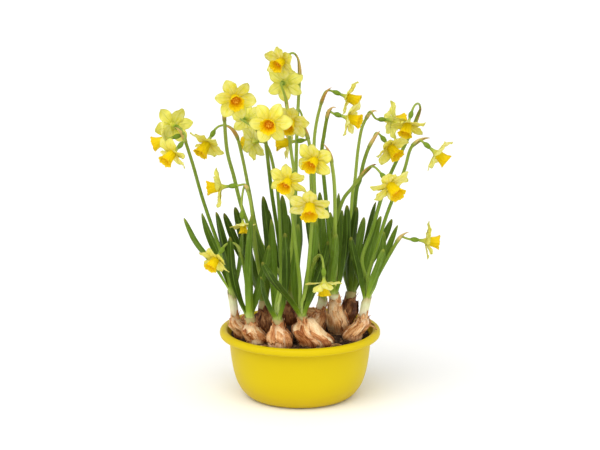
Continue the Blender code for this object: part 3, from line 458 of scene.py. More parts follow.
        # a pair of elements keeps one order: its mean side decides
        _, inv = np.unique(elem[I] * 1000 + elem[J], return_inverse=True)
        side = np.where(np.bincount(inv, dy)[inv] >= 0, 1.0, -1.0)
        need = np.sqrt(np.maximum(RR - dxz2, 0)) - side * dy
        push = 0.5 * need * side
        A = np.zeros(moved + 1); WA = np.zeros(moved + 1)
        B = np.zeros(moved + 1); WB = np.zeros(moved + 1)
        for idx, sg in ((I, 1.0), (J, -1.0)):
            el_ = elem[idx]
            c = push * sg
            is_f = kind[idx] >= 2
            w = np.minimum(need / (1.0 * MM), 3.0) + 0.2
            for arr, warr, basis in ((A, WA, np.where(is_f, 1.0, wa[idx])),
                                     (B, WB, np.where(is_f, 0.0, wb[idx]))):
                np.add.at(arr, el_, c * basis * w)
                np.add.at(warr, el_, basis ** 2 * w)
        gain = 0.55
        for i, s in enumerate(strands):
            s.a += gain * A[i] / (WA[i] + 0.3)
            s.b += gain * B[i] / (WB[i] + 0.3)
            s.a = float(np.clip(s.a, -45 * MM, 45 * MM))
            s.b = float(np.clip(s.b, -22 * MM, 22 * MM))
        for j, f in enumerate(blooms):
            k = len(strands) + j
            d = gain * A[k] / (WA[k] + 0.3)
            f.c = float(np.clip(f.c + 0.6 * d, -26 * MM, 26 * MM))
            f.stalk.a += 0.35 * d
    arrange.left = len(I)
    return strands, blooms


FLARE = 5.0                    # leaves spread as they leave the sheath (mm)
RELAX_STEPS = 300
SHEATH_MID = (SHEATH_IN + SHEATH_OUT) / 2


def leaf_angles(b):
    """Share the sheath's ring among the bulb's leaves, in order of heading."""
    mine = [i for i, leaf in enumerate(LEAVES) if leaf[0] == b]
    foot, top = sheath_axis(b)
    heads = []
    for i in mine:
        _, tip, bow, y1, w = LEAVES[i]
        p = place(tip[0], tip[1], y1 * MM)
        heads.append(math.atan2(p[1] - top[1], p[0] - top[0]) % (2 * math.pi))
    order = sorted(range(len(mine)), key=lambda k: heads[k])
    n = len(mine)
    step = 2 * math.pi / n
    shift = sum(math.sin(heads[k] - r * step) for r, k in enumerate(order))
    shift = math.atan2(shift, sum(math.cos(heads[k] - r * step)
                                  for r, k in enumerate(order)))
    return {mine[k]: shift + r * step for r, k in enumerate(order)}


def stalk_cells(b):
    """Honeycomb cells for the bulb's stalks: one, two or three side by side."""
    mine = [k for k, v in STALKS.items() if v[0] == b]
    r = STALK_R
    if len(mine) == 1:
        return {mine[0]: (0.0, 0.0)}
    heads = {}
    foot, top = sheath_axis(b)
    for k in mine:
        e, h = STALKS[k][1][-1]
        p = place(e, h, STALKS[k][2] * MM)
        heads[k] = (p[0] - top[0], p[1] - top[1])
    if len(mine) == 2:
        lo, hi = sorted(mine, key=lambda k: heads[k][0])
        w = r * math.sqrt(3) / 2
        return {lo: (-w, 0.0), hi: (w, 0.0)}
    # three cells round a shared corner, at 30, 150 and 270 degrees
    spots = [(r * math.cos(math.radians(a)), r * math.sin(math.radians(a)))
             for a in (30, 150, 270)]
    front = min(mine, key=lambda k: heads[k][1])
    rest = sorted([k for k in mine if k != front], key=lambda k: heads[k][0])
    return {front: spots[2], rest[0]: spots[1], rest[1]: spots[0]}


def carry_frames(pts, u0):
    """Frames carried along a curve without spin."""
    t = np.gradient(pts, axis=0)
    t /= np.linalg.norm(t, axis=1)[:, None]
    frames, u = [], np.asarray(u0, float)
    for k in range(len(pts)):
        u = u - t[k] * np.dot(u, t[k])
        u /= np.linalg.norm(u)
        frames.append((u, np.cross(t[k], u)))
    return frames


def seg_len(s):
    p = s.samples()
    return float(np.linalg.norm(np.diff(p, axis=0), axis=1).sum())


def nearest_on(s, p):
    q = s.at(np.linspace(0.8, 1, 41))
    return q[np.argmin(np.linalg.norm(q - p, axis=1))]


def angle_to(s, f):
    t = s.at(1.0)[0] - s.at(0.96)[0]
    d = f.centre() - f.d * f.back - s.at(1.0)[0]
    return -float(np.dot(t / np.linalg.norm(t), d / np.linalg.norm(d)))




# ===================================================================== looks
def srgb(r, g, b):
    out = []
    for c in (r, g, b):
        c /= 255.0
        out.append(c / 12.92 if c <= 0.04045 else ((c + 0.055) / 1.055) ** 2.4)
    return (*out, 1.0)


def cell(i, j, k, seed):
    n = (i * 73856093) ^ (j * 19349663) ^ (k * 83492791) ^ (seed * 2654435761)
    n = n & 0xFFFFFFFF
    n = ((n ^ (n >> 13)) * 1274126177) & 0xFFFFFFFF
    return ((n ^ (n >> 16)) & 0xFFFF) / 32767.5 - 1.0


def vnoise(p, freq=1.0, seed=0):
    """Smooth value noise in -1..1 at points p."""
    p = np.asarray(p, float) * freq
    b = np.floor(p).astype(np.int64)
    f = p - b
    f = f * f * (3 - 2 * f)
    out = 0.0
    for dx in (0, 1):
        for dy in (0, 1):
            for dz in (0, 1):
                w = ((f[..., 0] if dx else 1 - f[..., 0]) * (f[..., 1] if dy else 1 - f[..., 1])
                     * (f[..., 2] if dz else 1 - f[..., 2]))
                out = out + w * cell(b[..., 0] + dx, b[..., 1] + dy, b[..., 2] + dz, seed)
    return out


class Soup:
    """Vertices, faces and per-vertex numbers of one piece."""

    def __init__(self, *names):
        self.names = names
        self.v, self.f, self.a, self.n = [], [], {k: [] for k in names}, 0

    def _put(self, verts, faces, attrs):
        verts = verts.reshape(-1, 3)
        self.v.append(verts)
        self.f.extend(faces)
        for k in self.names:
            val = attrs.get(k, 0.0)
            self.a[k].append(np.broadcast_to(np.asarray(val, float), (len(verts),)).copy()
                             if np.ndim(val) <= 0 else np.asarray(val, float).reshape(-1))
        self.n += len(verts)

    def tube(self, rings, caps=(True, True), **attrs):
        """A skin over closed cross-sections; the ends are closed."""
        m, k, _ = rings.shape
        q = rings
        a = q[:-1]
        b = q[1:]
        a2 = np.roll(a, -1, axis=1)
        b2 = np.roll(b, -1, axis=1)
        o = q.reshape(-1, 3).mean(0)
        vol = (np.einsum("ijk,ijk->", a - o, np.cross(a2 - o, b2 - o))
               + np.einsum("ijk,ijk->", a - o, np.cross(b2 - o, b - o)))
        base = self.n
        idx = np.arange(m * k).reshape(m, k) + base
        i0, i1 = idx[:-1], idx[1:]
        f = np.stack([i0, np.roll(i0, -1, 1), np.roll(i1, -1, 1), i1], -1).reshape(-1, 4)
        if vol < 0:
            f = f[:, ::-1]
        faces = f.tolist()
        if caps[0]:
            c = idx[0].tolist()
            faces.append(c[::-1] if vol > 0 else c)
        if caps[1]:
            c = idx[-1].tolist()
            faces.append(c if vol > 0 else c[::-1])
        self._put(q, faces, {k_: np.broadcast_to(v, (m, k)) if np.ndim(v) else v
                             for k_, v in attrs.items()})

    def build(self, name, material, nodes=(), sharp=None):
        me = bpy.data.meshes.new(name)
        me.from_pydata(np.vstack(self.v), [], self.f)
        me.validate(clean_customdata=False)
        for k in self.names:
            at = me.attributes.new(k, "FLOAT", "POINT")
            at.data.foreach_set("value", np.concatenate(self.a[k]).astype(np.float32))
        me.shade_smooth()
        if sharp:
            me.set_sharp_from_angle(angle=math.radians(sharp))
        me.update()
        ob = bpy.data.objects.new(name, me)
        bpy.context.scene.collection.objects.link(ob)
        me.materials.append(material)
        if nodes:
            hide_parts(*nodes)
        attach(ob, "root")
        return ob


# ----------------------------------------------------------------- materials
class Mat:
    """A little shorthand for building node materials."""

    def __init__(self, name, roughness=0.5, **sockets):
        self.m = bpy.data.materials.new(name)
        self.m.use_nodes = True
        self.t = self.m.node_tree
        self.p = self.t.nodes["Principled BSDF"]
        self.p.inputs["Roughness"].default_value = roughness
        for k, v in sockets.items():
            self.p.inputs[k.replace("_", " ")].default_value = v

    def node(self, kind, **props):
        n = self.t.nodes.new(kind)
        for k, v in props.items():
            setattr(n, k, v)
        return n

    def put(self, socket, value):
        if isinstance(value, bpy.types.NodeSocket):
            self.t.links.new(value, socket)
        else:
            socket.default_value = value

    def attr(self, name):
        return self.node("ShaderNodeAttribute", attribute_name=name).outputs["Fac"]

    def math(self, op, a, b=0.0, c=0.0):
        n = self.node("ShaderNodeMath", operation=op)
        for s, v in zip(n.inputs, (a, b, c)):
            self.put(s, v)
        return n.outputs[0]

    def span(self, v, a, b, lo=0.0, hi=1.0):
        n = self.node("ShaderNodeMapRange", interpolation_type="SMOOTHSTEP")
        for k, val in (("Value", v), ("From Min", a), ("From Max", b), ("To Min", lo), ("To Max", hi)):
            self.put(n.inputs[k], val)
        return n.outputs[0]

    def vec(self, x, y, z):
        n = self.node("ShaderNodeCombineXYZ")
        for s, v in zip(n.inputs, (x, y, z)):
            self.put(s, v)
        return n.outputs[0]

    def place(self):
        return self.node("ShaderNodeTexCoord").outputs["Object"]

    def stretch(self, v, scale):
        n = self.node("ShaderNodeMapping")
        self.put(n.inputs["Vector"], v)
        n.inputs["Scale"].default_value = scale
        return n.outputs[0]

    def noise(self, v, scale, detail=3.0, rough=0.55, distortion=0.0):
        n = self.node("ShaderNodeTexNoise")
        self.put(n.inputs["Vector"], v)
        n.inputs["Scale"].default_value = scale
        n.inputs["Detail"].default_value = detail
        n.inputs["Roughness"].default_value = rough
        n.inputs["Distortion"].default_value = distortion
        return n.outputs["Fac"]

    def voronoi(self, v, scale, feature="F1"):
        n = self.node("ShaderNodeTexVoronoi", feature=feature)
        self.put(n.inputs["Vector"], v)
        n.inputs["Scale"].default_value = scale
        return n.outputs["Distance"]

    def ramp(self, fac, stops):
        n = self.node("ShaderNodeValToRGB")
        self.put(n.inputs[0], fac)
        r = n.color_ramp
        while len(r.elements) < len(stops):
            r.elements.new(0.5)
        for e, (pos, col) in zip(r.elements, stops):
            e.position = pos
            e.color = col
        return n.outputs["Color"]

    def mix(self, fac, a, b, blend="MIX"):
        n = self.node("ShaderNodeMix", data_type="RGBA", blend_type=blend)
        self.put(n.inputs["Factor"], fac)
        self.put(n.inputs[6], a)
        self.put(n.inputs[7], b)
        return n.outputs[2]

    def colour(self, c):
        self.put(self.p.inputs["Base Color"], c)

    def rough(self, r):
        self.put(self.p.inputs["Roughness"], r)

    def bump(self, height, strength, distance):
        n = self.node("ShaderNodeBump")
        self.put(n.inputs["Height"], height)
        n.inputs["Strength"].default_value = strength
        n.inputs["Distance"].default_value = distance
        self.t.links.new(n.outputs[0], self.p.inputs["Normal"])


def mat_bowl():
    m = Mat("bowl_satin_plastic", 0.34, Specular_IOR_Level=0.12)
    o = m.place()
    cloud = m.noise(o, 14.0, 4.0, 0.6)
    fine = m.noise(m.stretch(o, (1, 1, 2.2)), 420.0, 3.0, 0.6)
    z = m.attr("height")
    c = m.mix(cloud, srgb(206, 181, 1), srgb(212, 188, 5))
    # painted shade: the bowl colour darkens towards its base
    low = m.span(z, 0.0, 0.034, 1.0, 0.0)
    c = m.mix(m.math("MULTIPLY", low, 0.5), c, srgb(190, 157, 0))
    # painted shade: the inside of the bowl is coloured a darker orange-yellow
    inner = m.attr("inside")
    c = m.mix(m.math("MULTIPLY", inner, 0.55), c, srgb(190, 140, 4))
    scuff = m.span(m.noise(m.stretch(o, (1, 1, 9)), 60.0, 5.0, 0.7), 0.66, 0.80)
    c = m.mix(m.math("MULTIPLY", scuff, 0.14), c, srgb(222, 204, 80))
    m.colour(c)
    m.rough(m.span(fine, 0.2, 0.8, 0.36, 0.50))
    m.bump(fine, 0.10, 0.0004)
    return m.m


def mat_soil():
    m = Mat("potting_soil_crumbs", 0.95, Specular_IOR_Level=0.25)
    o = m.place()
    a = m.noise(o, 160.0, 6.0, 0.7)
    b = m.voronoi(o, 420.0)
    tone = m.attr("tone")
    c = m.ramp(m.math("ADD", m.math("MULTIPLY", a, 0.7), m.math("MULTIPLY", tone, 0.35)),
               [(0.2, srgb(24, 14, 8)), (0.48, srgb(50, 32, 20)), (0.7, srgb(78, 54, 36)),
                (0.92, srgb(120, 92, 66))])
    m.colour(c)
    m.bump(m.math("ADD", a, m.math("MULTIPLY", b, -0.6)), 0.9, 0.0012)
    return m.m


def mat_bulb(name, dark, mid, light, pale, shift=0.0):
    """Papery bulb skins: upright fibres, pale and rusty patches, dark seams, and painted shade darkening the foot near
    the soil.
    """
    m = Mat(name, 0.5, Specular_IOR_Level=0.22, Subsurface_Weight=0.0, Subsurface_Scale=0.004)
    m.p.inputs["Subsurface Radius"].default_value = (1.0, 0.5, 0.25)
    ang, up, tone = m.attr("ang"), m.attr("up"), m.attr("tone")
    fib = m.vec(m.math("MULTIPLY", ang, 30.0), m.math("MULTIPLY", up, 2.2), m.math("MULTIPLY", tone, 7.0))
    fibre = m.noise(fib, 1.6, 6.0, 0.65, 0.3)
    fine = m.noise(m.vec(m.math("MULTIPLY", ang, 130.0), m.math("MULTIPLY", up, 6.0), tone), 1.0, 4.0, 0.6)
    patch = m.noise(m.vec(m.math("MULTIPLY", ang, 3.2), m.math("MULTIPLY", up, 2.6),
                          m.math("MULTIPLY", tone, 11.0)), 1.3, 4.0, 0.6, 0.6)
    mixv = m.math("ADD", m.math("MULTIPLY", fibre, 0.38), m.math("MULTIPLY", patch, 0.62))
    c = m.ramp(mixv, [(0.36 + shift, dark), (0.43 + shift, mid), (0.50 + shift, light),
                      (0.59 + shift, pale)])
    seam = m.span(m.math("ABSOLUTE", m.math("SUBTRACT", fine, 0.5)), 0.0, 0.035, 1.0, 0.0)
    c = m.mix(m.math("MULTIPLY", seam, 0.5), c, srgb(104, 48, 12))
    top = m.span(up, 0.84, 1.0)
    c = m.mix(m.math("MULTIPLY", top, 0.5), c, srgb(128, 82, 36))
    # painted shade: the skin darkens towards the soil line
    foot = m.span(up, 0.50, 0.36)
    c = m.mix(m.math("MULTIPLY", foot, 0.6), c, srgb(62, 28, 8))
    m.colour(c)
    m.rough(m.span(fibre, 0.3, 0.7, 0.36, 0.62))
    m.bump(m.math("ADD", m.math("MULTIPLY", fine, 0.5), fibre), 0.55, 0.0009)
    return m.m


def mat_leaf(name="strap_leaf", depth=0.0):
    m = Mat(name, 0.44, Specular_IOR_Level=0.12, Subsurface_Weight=0.06, Subsurface_Scale=0.002)
    m.p.inputs["Subsurface Radius"].default_value = (0.5, 1.0, 0.1)
    s, w, tone, side = m.attr("along"), m.attr("across"), m.attr("tone"), m.attr("side")
    veins = m.noise(m.vec(m.math("MULTIPLY", w, 9.0), m.math("MULTIPLY", s, 1.2),
                          m.math("MULTIPLY", tone, 5.0)), 1.7, 4.0, 0.6)
    mott = m.noise(m.vec(m.math("MULTIPLY", w, 1.1), m.math("MULTIPLY", s, 7.0),
                         m.math("MULTIPLY", tone, 9.0)), 1.5, 3.0, 0.6)
    base = m.ramp(s, [(0.0, srgb(232, 230, 186)), (0.10, srgb(210, 218, 136)),
                      (0.19, srgb(152, 178, 50)), (0.34, srgb(114, 144, 34)),
                      (0.62, srgb(92, 122, 24)), (0.93, srgb(98, 124, 28)), (1.0, srgb(148, 152, 54))])
    deep = m.ramp(s, [(0.0, srgb(222, 218, 168)), (0.10, srgb(180, 192, 104)),
                      (0.19, srgb(112, 140, 26)), (0.34, srgb(64, 88, 8)),
                      (0.62, srgb(44, 64, 2)), (0.95, srgb(56, 78, 6)), (1.0, srgb(128, 122, 40))])
    c = m.mix(m.span(m.math("ADD", tone, m.math("MULTIPLY", side, 0.22)), 0.15, 0.95), deep, base)
    bloom = m.span(m.math("ADD", mott, m.math("MULTIPLY", tone, 0.22)), 0.55, 0.85)
    bloom = m.math("MULTIPLY", bloom, m.span(s, 0.2, 0.45))
    c = m.mix(m.math("MULTIPLY", bloom, 0.34), c, srgb(126, 150, 74))
    c = m.mix(m.math("MULTIPLY", m.span(veins, 0.5, 0.72), 0.34), c, srgb(132, 166, 58))
    c = m.mix(m.math("MULTIPLY", m.span(veins, 0.48, 0.30), 0.46), c, srgb(30, 46, 1))
    rib = m.span(m.math("ABSOLUTE", w), 0.16, 0.0)
    c = m.mix(m.math("MULTIPLY", m.math("MULTIPLY", rib, m.span(s, 0.12, 0.3)), 0.32), c,
              srgb(136, 172, 66))
    edge = m.span(m.math("ABSOLUTE", w), 0.90, 1.0)
    c = m.mix(m.math("MULTIPLY", edge, 0.20), c, srgb(160, 180, 80))
    # painted shade: leaves of the back plants are darkened all along, most towards their foot
    if depth:
        c = m.mix(m.span(s, 0.55, 0.0, depth * 0.5, depth), c, srgb(40, 56, 4))
    m.colour(c)
    m.rough(m.span(mott, 0.3, 0.7, 0.34, 0.52))
    m.bump(veins, 0.55, 0.0007)
    return m.m


def mat_sheath():
    m = Mat("membranous_sheath", 0.5, Subsurface_Weight=0.15, Subsurface_Scale=0.003)
    m.p.inputs["Subsurface Radius"].default_value = (1.0, 0.9, 0.5)
    s, w, tone = m.attr("along"), m.attr("across"), m.attr("tone")
    f = m.noise(m.vec(m.math("MULTIPLY", w, 60.0), m.math("MULTIPLY", s, 2.0), m.math("MULTIPLY", tone, 6.0)),
                1.0, 5.0, 0.65)
    c = m.ramp(s, [(0.0, srgb(206, 178, 126)), (0.3, srgb(232, 222, 180)), (0.7, srgb(222, 224, 168)),
                   (1.0, srgb(190, 170, 112))])
    c = m.mix(m.math("MULTIPLY", m.span(f, 0.52, 0.7), 0.35), c, srgb(176, 150, 98))
    c = m.mix(m.math("MULTIPLY", m.span(f, 0.48, 0.3), 0.35), c, srgb(244, 238, 208))
    dry = m.mix(f, srgb(150, 116, 62), srgb(176, 168, 96))
    c = m.mix(m.math("MULTIPLY", m.span(tone, -0.2, -0.8), 0.85), c, dry)
    m.colour(c)
    m.bump(f, 0.5, 0.0006)
    return m.m


def mat_stalk():
    m = Mat("flower_stalk", 0.44, Specular_IOR_Level=0.12, Subsurface_Weight=0.08, Subsurface_Scale=0.002)
    m.p.inputs["Subsurface Radius"].default_value = (0.5, 1.0, 0.2)
    s, w, tone, kind = m.attr("along"), m.attr("across"), m.attr("tone"), m.attr("kind")
    f = m.noise(m.vec(m.math("MULTIPLY", w, 26.0), m.math("MULTIPLY", s, 5.0), m.math("MULTIPLY", tone, 6.0)),
                1.0, 4.0, 0.6)
    mott = m.noise(m.vec(w, m.math("MULTIPLY", s, 16.0), m.math("MULTIPLY", tone, 3.0)), 1.0, 3.0, 0.6)
    a = m.ramp(s, [(0.0, srgb(220, 226, 164)), (0.14, srgb(182, 202, 96)), (0.4, srgb(142, 166, 52)),
                   (0.75, srgb(148, 168, 68)), (1.0, srgb(158, 172, 74))])
    b = m.ramp(s, [(0.0, srgb(206, 214, 140)), (0.14, srgb(140, 168, 56)), (0.4, srgb(90, 120, 20)),
                   (0.75, srgb(98, 124, 30)), (1.0, srgb(118, 132, 34))])
    c = m.mix(m.span(tone, 0.1, 0.9), b, a)
    c = m.mix(m.math("MULTIPLY", m.span(f, 0.5, 0.75), 0.38), c, srgb(190, 208, 112))
    c = m.mix(m.math("MULTIPLY", m.span(f, 0.46, 0.28), 0.46), c, srgb(58, 84, 8))
    c = m.mix(m.math("MULTIPLY", m.span(mott, 0.45, 0.8), 0.20), c, srgb(160, 184, 98))
    ped = m.mix(f, srgb(118, 140, 34), srgb(170, 184, 84))
    ova = m.mix(f, srgb(88, 118, 18), srgb(136, 160, 52))
    c = m.mix(m.span(kind, 0.3, 0.7), c, ped)
    c = m.mix(m.span(kind, 1.3, 1.7), c, ova)
    m.colour(c)
    m.rough(m.span(mott, 0.3, 0.7, 0.34, 0.50))
    m.bump(f, 0.5, 0.0005)
    return m.m


def mat_spathe():
    m = Mat("papery_bract", 0.55, Specular_IOR_Level=0.35, Subsurface_Weight=0.15, Subsurface_Scale=0.002)
    m.p.inputs["Subsurface Radius"].default_value = (1.0, 0.7, 0.4)
    s, w, tone = m.attr("along"), m.attr("across"), m.attr("tone")
    f = m.noise(m.vec(m.math("MULTIPLY", w, 14.0), m.math("MULTIPLY", s, 2.0), m.math("MULTIPLY", tone, 8.0)),
                1.2, 5.0, 0.65)
    pal = m.mix(m.span(tone, 0.2, 0.8), srgb(180, 134, 56), srgb(208, 180, 106))
    c = m.mix(m.span(s, 0.0, 0.30), srgb(140, 152, 56), pal)
    c = m.mix(m.math("MULTIPLY", m.span(f, 0.52, 0.72), 0.55), c, srgb(140, 92, 36))
    c = m.mix(m.math("MULTIPLY", m.span(f, 0.45, 0.25), 0.40), c, srgb(226, 206, 160))
    c = m.mix(m.math("MULTIPLY", m.span(s, 0.8, 1.0), 0.5), c, srgb(140, 96, 48))
    c = m.mix(m.math("MULTIPLY", m.span(tone, -0.2, -0.8), 0.85), c, m.mix(f, srgb(104, 130, 30), srgb(152, 172, 70)))
    m.colour(c)
    m.bump(f, 0.6, 0.0005)
    return m.m


def mat_petal():
    m = Mat("lemon_petal", 0.50, Specular_IOR_Level=0.14, Subsurface_Weight=0.14, Subsurface_Scale=0.002)
    m.p.inputs["Subsurface Radius"].default_value = (1.0, 0.95, 0.35)
    s, w, tone, side = m.attr("along"), m.attr("across"), m.attr("tone"), m.attr("side")
    stria = m.noise(m.vec(m.math("MULTIPLY", w, 10.0), m.math("MULTIPLY", s, 0.9),
                          m.math("MULTIPLY", tone, 9.0)), 1.6, 4.0, 0.6, 0.15)
    cloud = m.noise(m.vec(m.math("MULTIPLY", w, 1.4), m.math("MULTIPLY", s, 2.6),
                          m.math("MULTIPLY", tone, 5.0)), 1.5, 3.0, 0.6)
    front = m.ramp(s, [(0.0, srgb(220, 194, 6)), (0.20, srgb(231, 212, 36)), (0.55, srgb(237, 226, 74)),
                       (0.85, srgb(238, 231, 106)), (1.0, srgb(218, 215, 58))])
    back = m.ramp(s, [(0.0, srgb(184, 188, 34)), (0.25, srgb(224, 216, 62)), (0.6, srgb(236, 229, 100)),
                      (1.0, srgb(216, 213, 64))])
    c = m.mix(side, front, back)
    c = m.mix(m.math("MULTIPLY", m.span(cloud, 0.36, 0.66), m.span(tone, 0.0, 1.0, 0.15, 0.62)), c,
              srgb(246, 242, 186))
    aw = m.math("ABSOLUTE", w)
    c = m.mix(m.math("MULTIPLY", m.span(aw, 0.78, 1.0), 0.46), c, srgb(188, 188, 36))
    rib = m.math("MULTIPLY", m.span(aw, 0.18, 0.0), m.span(s, 1.0, 0.5))
    c = m.mix(m.math("MULTIPLY", rib, m.span(side, 0.0, 1.0, 0.36, 0.6)), c, srgb(188, 190, 30))
    c = m.mix(m.math("MULTIPLY", m.span(stria, 0.52, 0.68), 0.46), c, srgb(212, 199, 24))
    c = m.mix(m.math("MULTIPLY", m.span(stria, 0.48, 0.32), 0.42), c, srgb(250, 246, 192))
    m.colour(c)
    m.rough(m.span(cloud, 0.3, 0.7, 0.42, 0.56))
    m.bump(stria, 0.7, 0.0008)
    return m.m


def mat_tube():
    m = Mat("flower_tube", 0.45, Subsurface_Weight=0.2, Subsurface_Scale=0.003)
    s, w, tone = m.attr("along"), m.attr("across"), m.attr("tone")
    f = m.noise(m.vec(m.math("MULTIPLY", w, 22.0), m.math("MULTIPLY", s, 2.0), m.math("MULTIPLY", tone, 5.0)),
                1.0, 4.0, 0.6)
    c = m.ramp(s, [(0.0, srgb(124, 148, 34)), (0.45, srgb(166, 178, 46)), (1.0, srgb(208, 200, 66))])
    c = m.mix(m.math("MULTIPLY", m.span(f, 0.5, 0.75), 0.35), c, srgb(232, 226, 130))
    c = m.mix(m.math("MULTIPLY", m.span(f, 0.48, 0.3), 0.35), c, srgb(140, 160, 30))
    m.colour(c)
    m.bump(f, 0.4, 0.0005)
    return m.m


def mat_cup():
    m = Mat("golden_cup", 0.48, Specular_IOR_Level=0.14, Subsurface_Weight=0.14, Subsurface_Scale=0.002)
    m.p.inputs["Subsurface Radius"].default_value = (1.0, 0.7, 0.1)
    s, w, tone, side = m.attr("along"), m.attr("across"), m.attr("tone"), m.attr("side")
    f = m.noise(m.vec(m.math("MULTIPLY", w, 34.0), m.math("MULTIPLY", s, 1.4),
                      m.math("MULTIPLY", tone, 7.0)), 1.0, 4.0, 0.6, 0.2)
    cloud = m.noise(m.vec(m.math("MULTIPLY", w, 3.0), m.math("MULTIPLY", s, 3.0), m.math("MULTIPLY", tone, 7.0)),
                    1.0, 3.0, 0.6)
    out = m.ramp(s, [(0.0, srgb(222, 200, 10)), (0.35, srgb(226, 199, 2)), (0.8, srgb(230, 197, 0)),
                     (1.0, srgb(228, 188, 0))])
    ins = m.ramp(s, [(0.0, srgb(250, 176, 22)), (0.30, srgb(250, 188, 14)), (0.55, srgb(242, 200, 6)),
                     (1.0, srgb(236, 206, 8))])
    c = m.mix(side, out, ins)
    c = m.mix(m.math("MULTIPLY", m.span(f, 0.5, 0.75), 0.28), c, srgb(216, 158, 0))
    c = m.mix(m.math("MULTIPLY", m.span(f, 0.48, 0.28), 0.30), c, srgb(232, 212, 40))
    c = m.mix(m.math("MULTIPLY", cloud, 0.18), c, srgb(232, 210, 26))
    m.colour(c)
    # painted light: a faint orange glow on the cup's inner face, strongest towards the throat
    m.put(m.p.inputs["Emission Color"], srgb(255, 196, 16))
    m.put(m.p.inputs["Emission Strength"], m.math("MULTIPLY", side, m.span(s, 1.0, 0.2, 0.0, 0.07)))
    m.rough(m.span(cloud, 0.3, 0.7, 0.40, 0.54))
    m.bump(f, 0.5, 0.0007)
    return m.m


def mat_stamen():
    m = Mat("stamens", 0.7)
    s, tone = m.attr("along"), m.attr("tone")
    f = m.noise(m.place(), 2600.0, 3.0, 0.6)
    c = m.ramp(s, [(0.0, srgb(250, 196, 50)), (0.5, srgb(255, 198, 40)), (1.0, srgb(255, 190, 30))])
    c = m.mix(m.math("MULTIPLY", f, 0.5), c, srgb(252, 210, 80))
    m.colour(c)
    # painted light: the stamens glow faintly
    m.p.inputs["Emission Color"].default_value = srgb(255, 196, 16)
    m.p.inputs["Emission Strength"].default_value = 0.05
    m.bump(f, 0.8, 0.0004)
    return m.m


# ------------------------------------------------------------------- pieces
def ring_points(c, u, v, r, n, shape=None):
    """A ring of n points round c; shape gives a radius factor for each angle."""
    a = np.linspace(0, 2 * math.pi, n, endpoint=False)
    f = np.ones(n) if shape is None else shape(a)
    return (c[None, :] + (r * f * np.cos(a))[:, None] * u + (r * f * np.sin(a))[:, None] * v)


def soft_curve(xs, ys, x):
    """Cubic through the knots with flat-free tangents, for widths and radii."""
    xs, ys = np.asarray(xs, float), np.asarray(ys, float)
    d = np.gradient(ys, xs)
    x = np.clip(np.asarray(x, float), xs[0], xs[-1])
    i = np.clip(np.searchsorted(xs, x, side="right") - 1, 0, len(xs) - 2)
    h = xs[i + 1] - xs[i]
    t = (x - xs[i]) / h
    return ((2 * t ** 3 - 3 * t ** 2 + 1) * ys[i] + (t ** 3 - 2 * t ** 2 + t) * h * d[i]
            + (-2 * t ** 3 + 3 * t ** 2) * ys[i + 1] + (t ** 3 - t ** 2) * h * d[i + 1])


def build_bowl(mat):
    outer = [(0, 0.9), (39, 0.9), (43.5, 0.8), (44.6, 0.05), (47.5, 0.0), (50.5, 0.5), (54.5, 2.6),
             (57.6, 5.4), (60.8, 9.6), (64.4, 16.2), (67.5, 26), (69.7, 38), (71.2, 51), (71.7, 59.6),
             (72.2, 61.6), (74.6, 62.3), (79.0, 62.4), (81.0, 63.6), (81.5, 66.2), (80.9, 68.5),
             (79.0, 69.8), (76.4, 70.0), (74.6, 69.3), (73.4, 67.6), (72.2, 64.0), (70.6, 60)]
    inner = [(67.7, 38), (65.5, 26.6), (62.3, 17.4), (58.2, 10.4), (53, 5.2), (46, 2.9), (0, 2.8)]
    pts = np.array(outer + inner) * MM
    seg = np.linalg.norm(np.diff(pts, axis=0), axis=1)
    share = []
    at = np.concatenate([[0], np.cumsum(seg)]) / seg.sum()
    for a, b, l in zip(at, at[1:], seg):
        k = max(2, min(10, int(l / (0.9 * MM))))
        share += list(np.linspace(a, b, k, endpoint=False))
    prof = catmull(pts, np.array(share[1:] + [0.999]))
    n = 168
    a = np.linspace(0, 2 * math.pi, n, endpoint=False)
    rings = np.stack([np.stack([r * np.cos(a), r * np.sin(a), np.full(n, z)], -1)
                      for r, z in np.maximum(prof, [[1e-5, 0]])])
    inside = np.zeros(len(prof))
    top = int(np.argmax(prof[:, 1]))
    inside[top + 4:] = 1.0
    s = Soup("height", "inside")
    s.tube(rings, height=rings[..., 2], inside=inside[:, None] + np.zeros((1, n)))
    return s.build("bowl_shell", mat, ("bowl",), sharp=50)


def soil_height(x, y):
    r = np.sqrt(x * x + y * y) / MM
    z = soft_curve([0, 30, 50, 64, 70], [67.2, 66.7, 66.0, 65.0, 63.6], r) * MM
    p = np.stack([x, y, np.zeros_like(x)], -1)
    z = z + 0.9 * MM * vnoise(p, 90.0, 3) + 0.55 * MM * vnoise(p, 260.0, 4) + 0.35 * MM * vnoise(p, 620.0, 5)
    return z


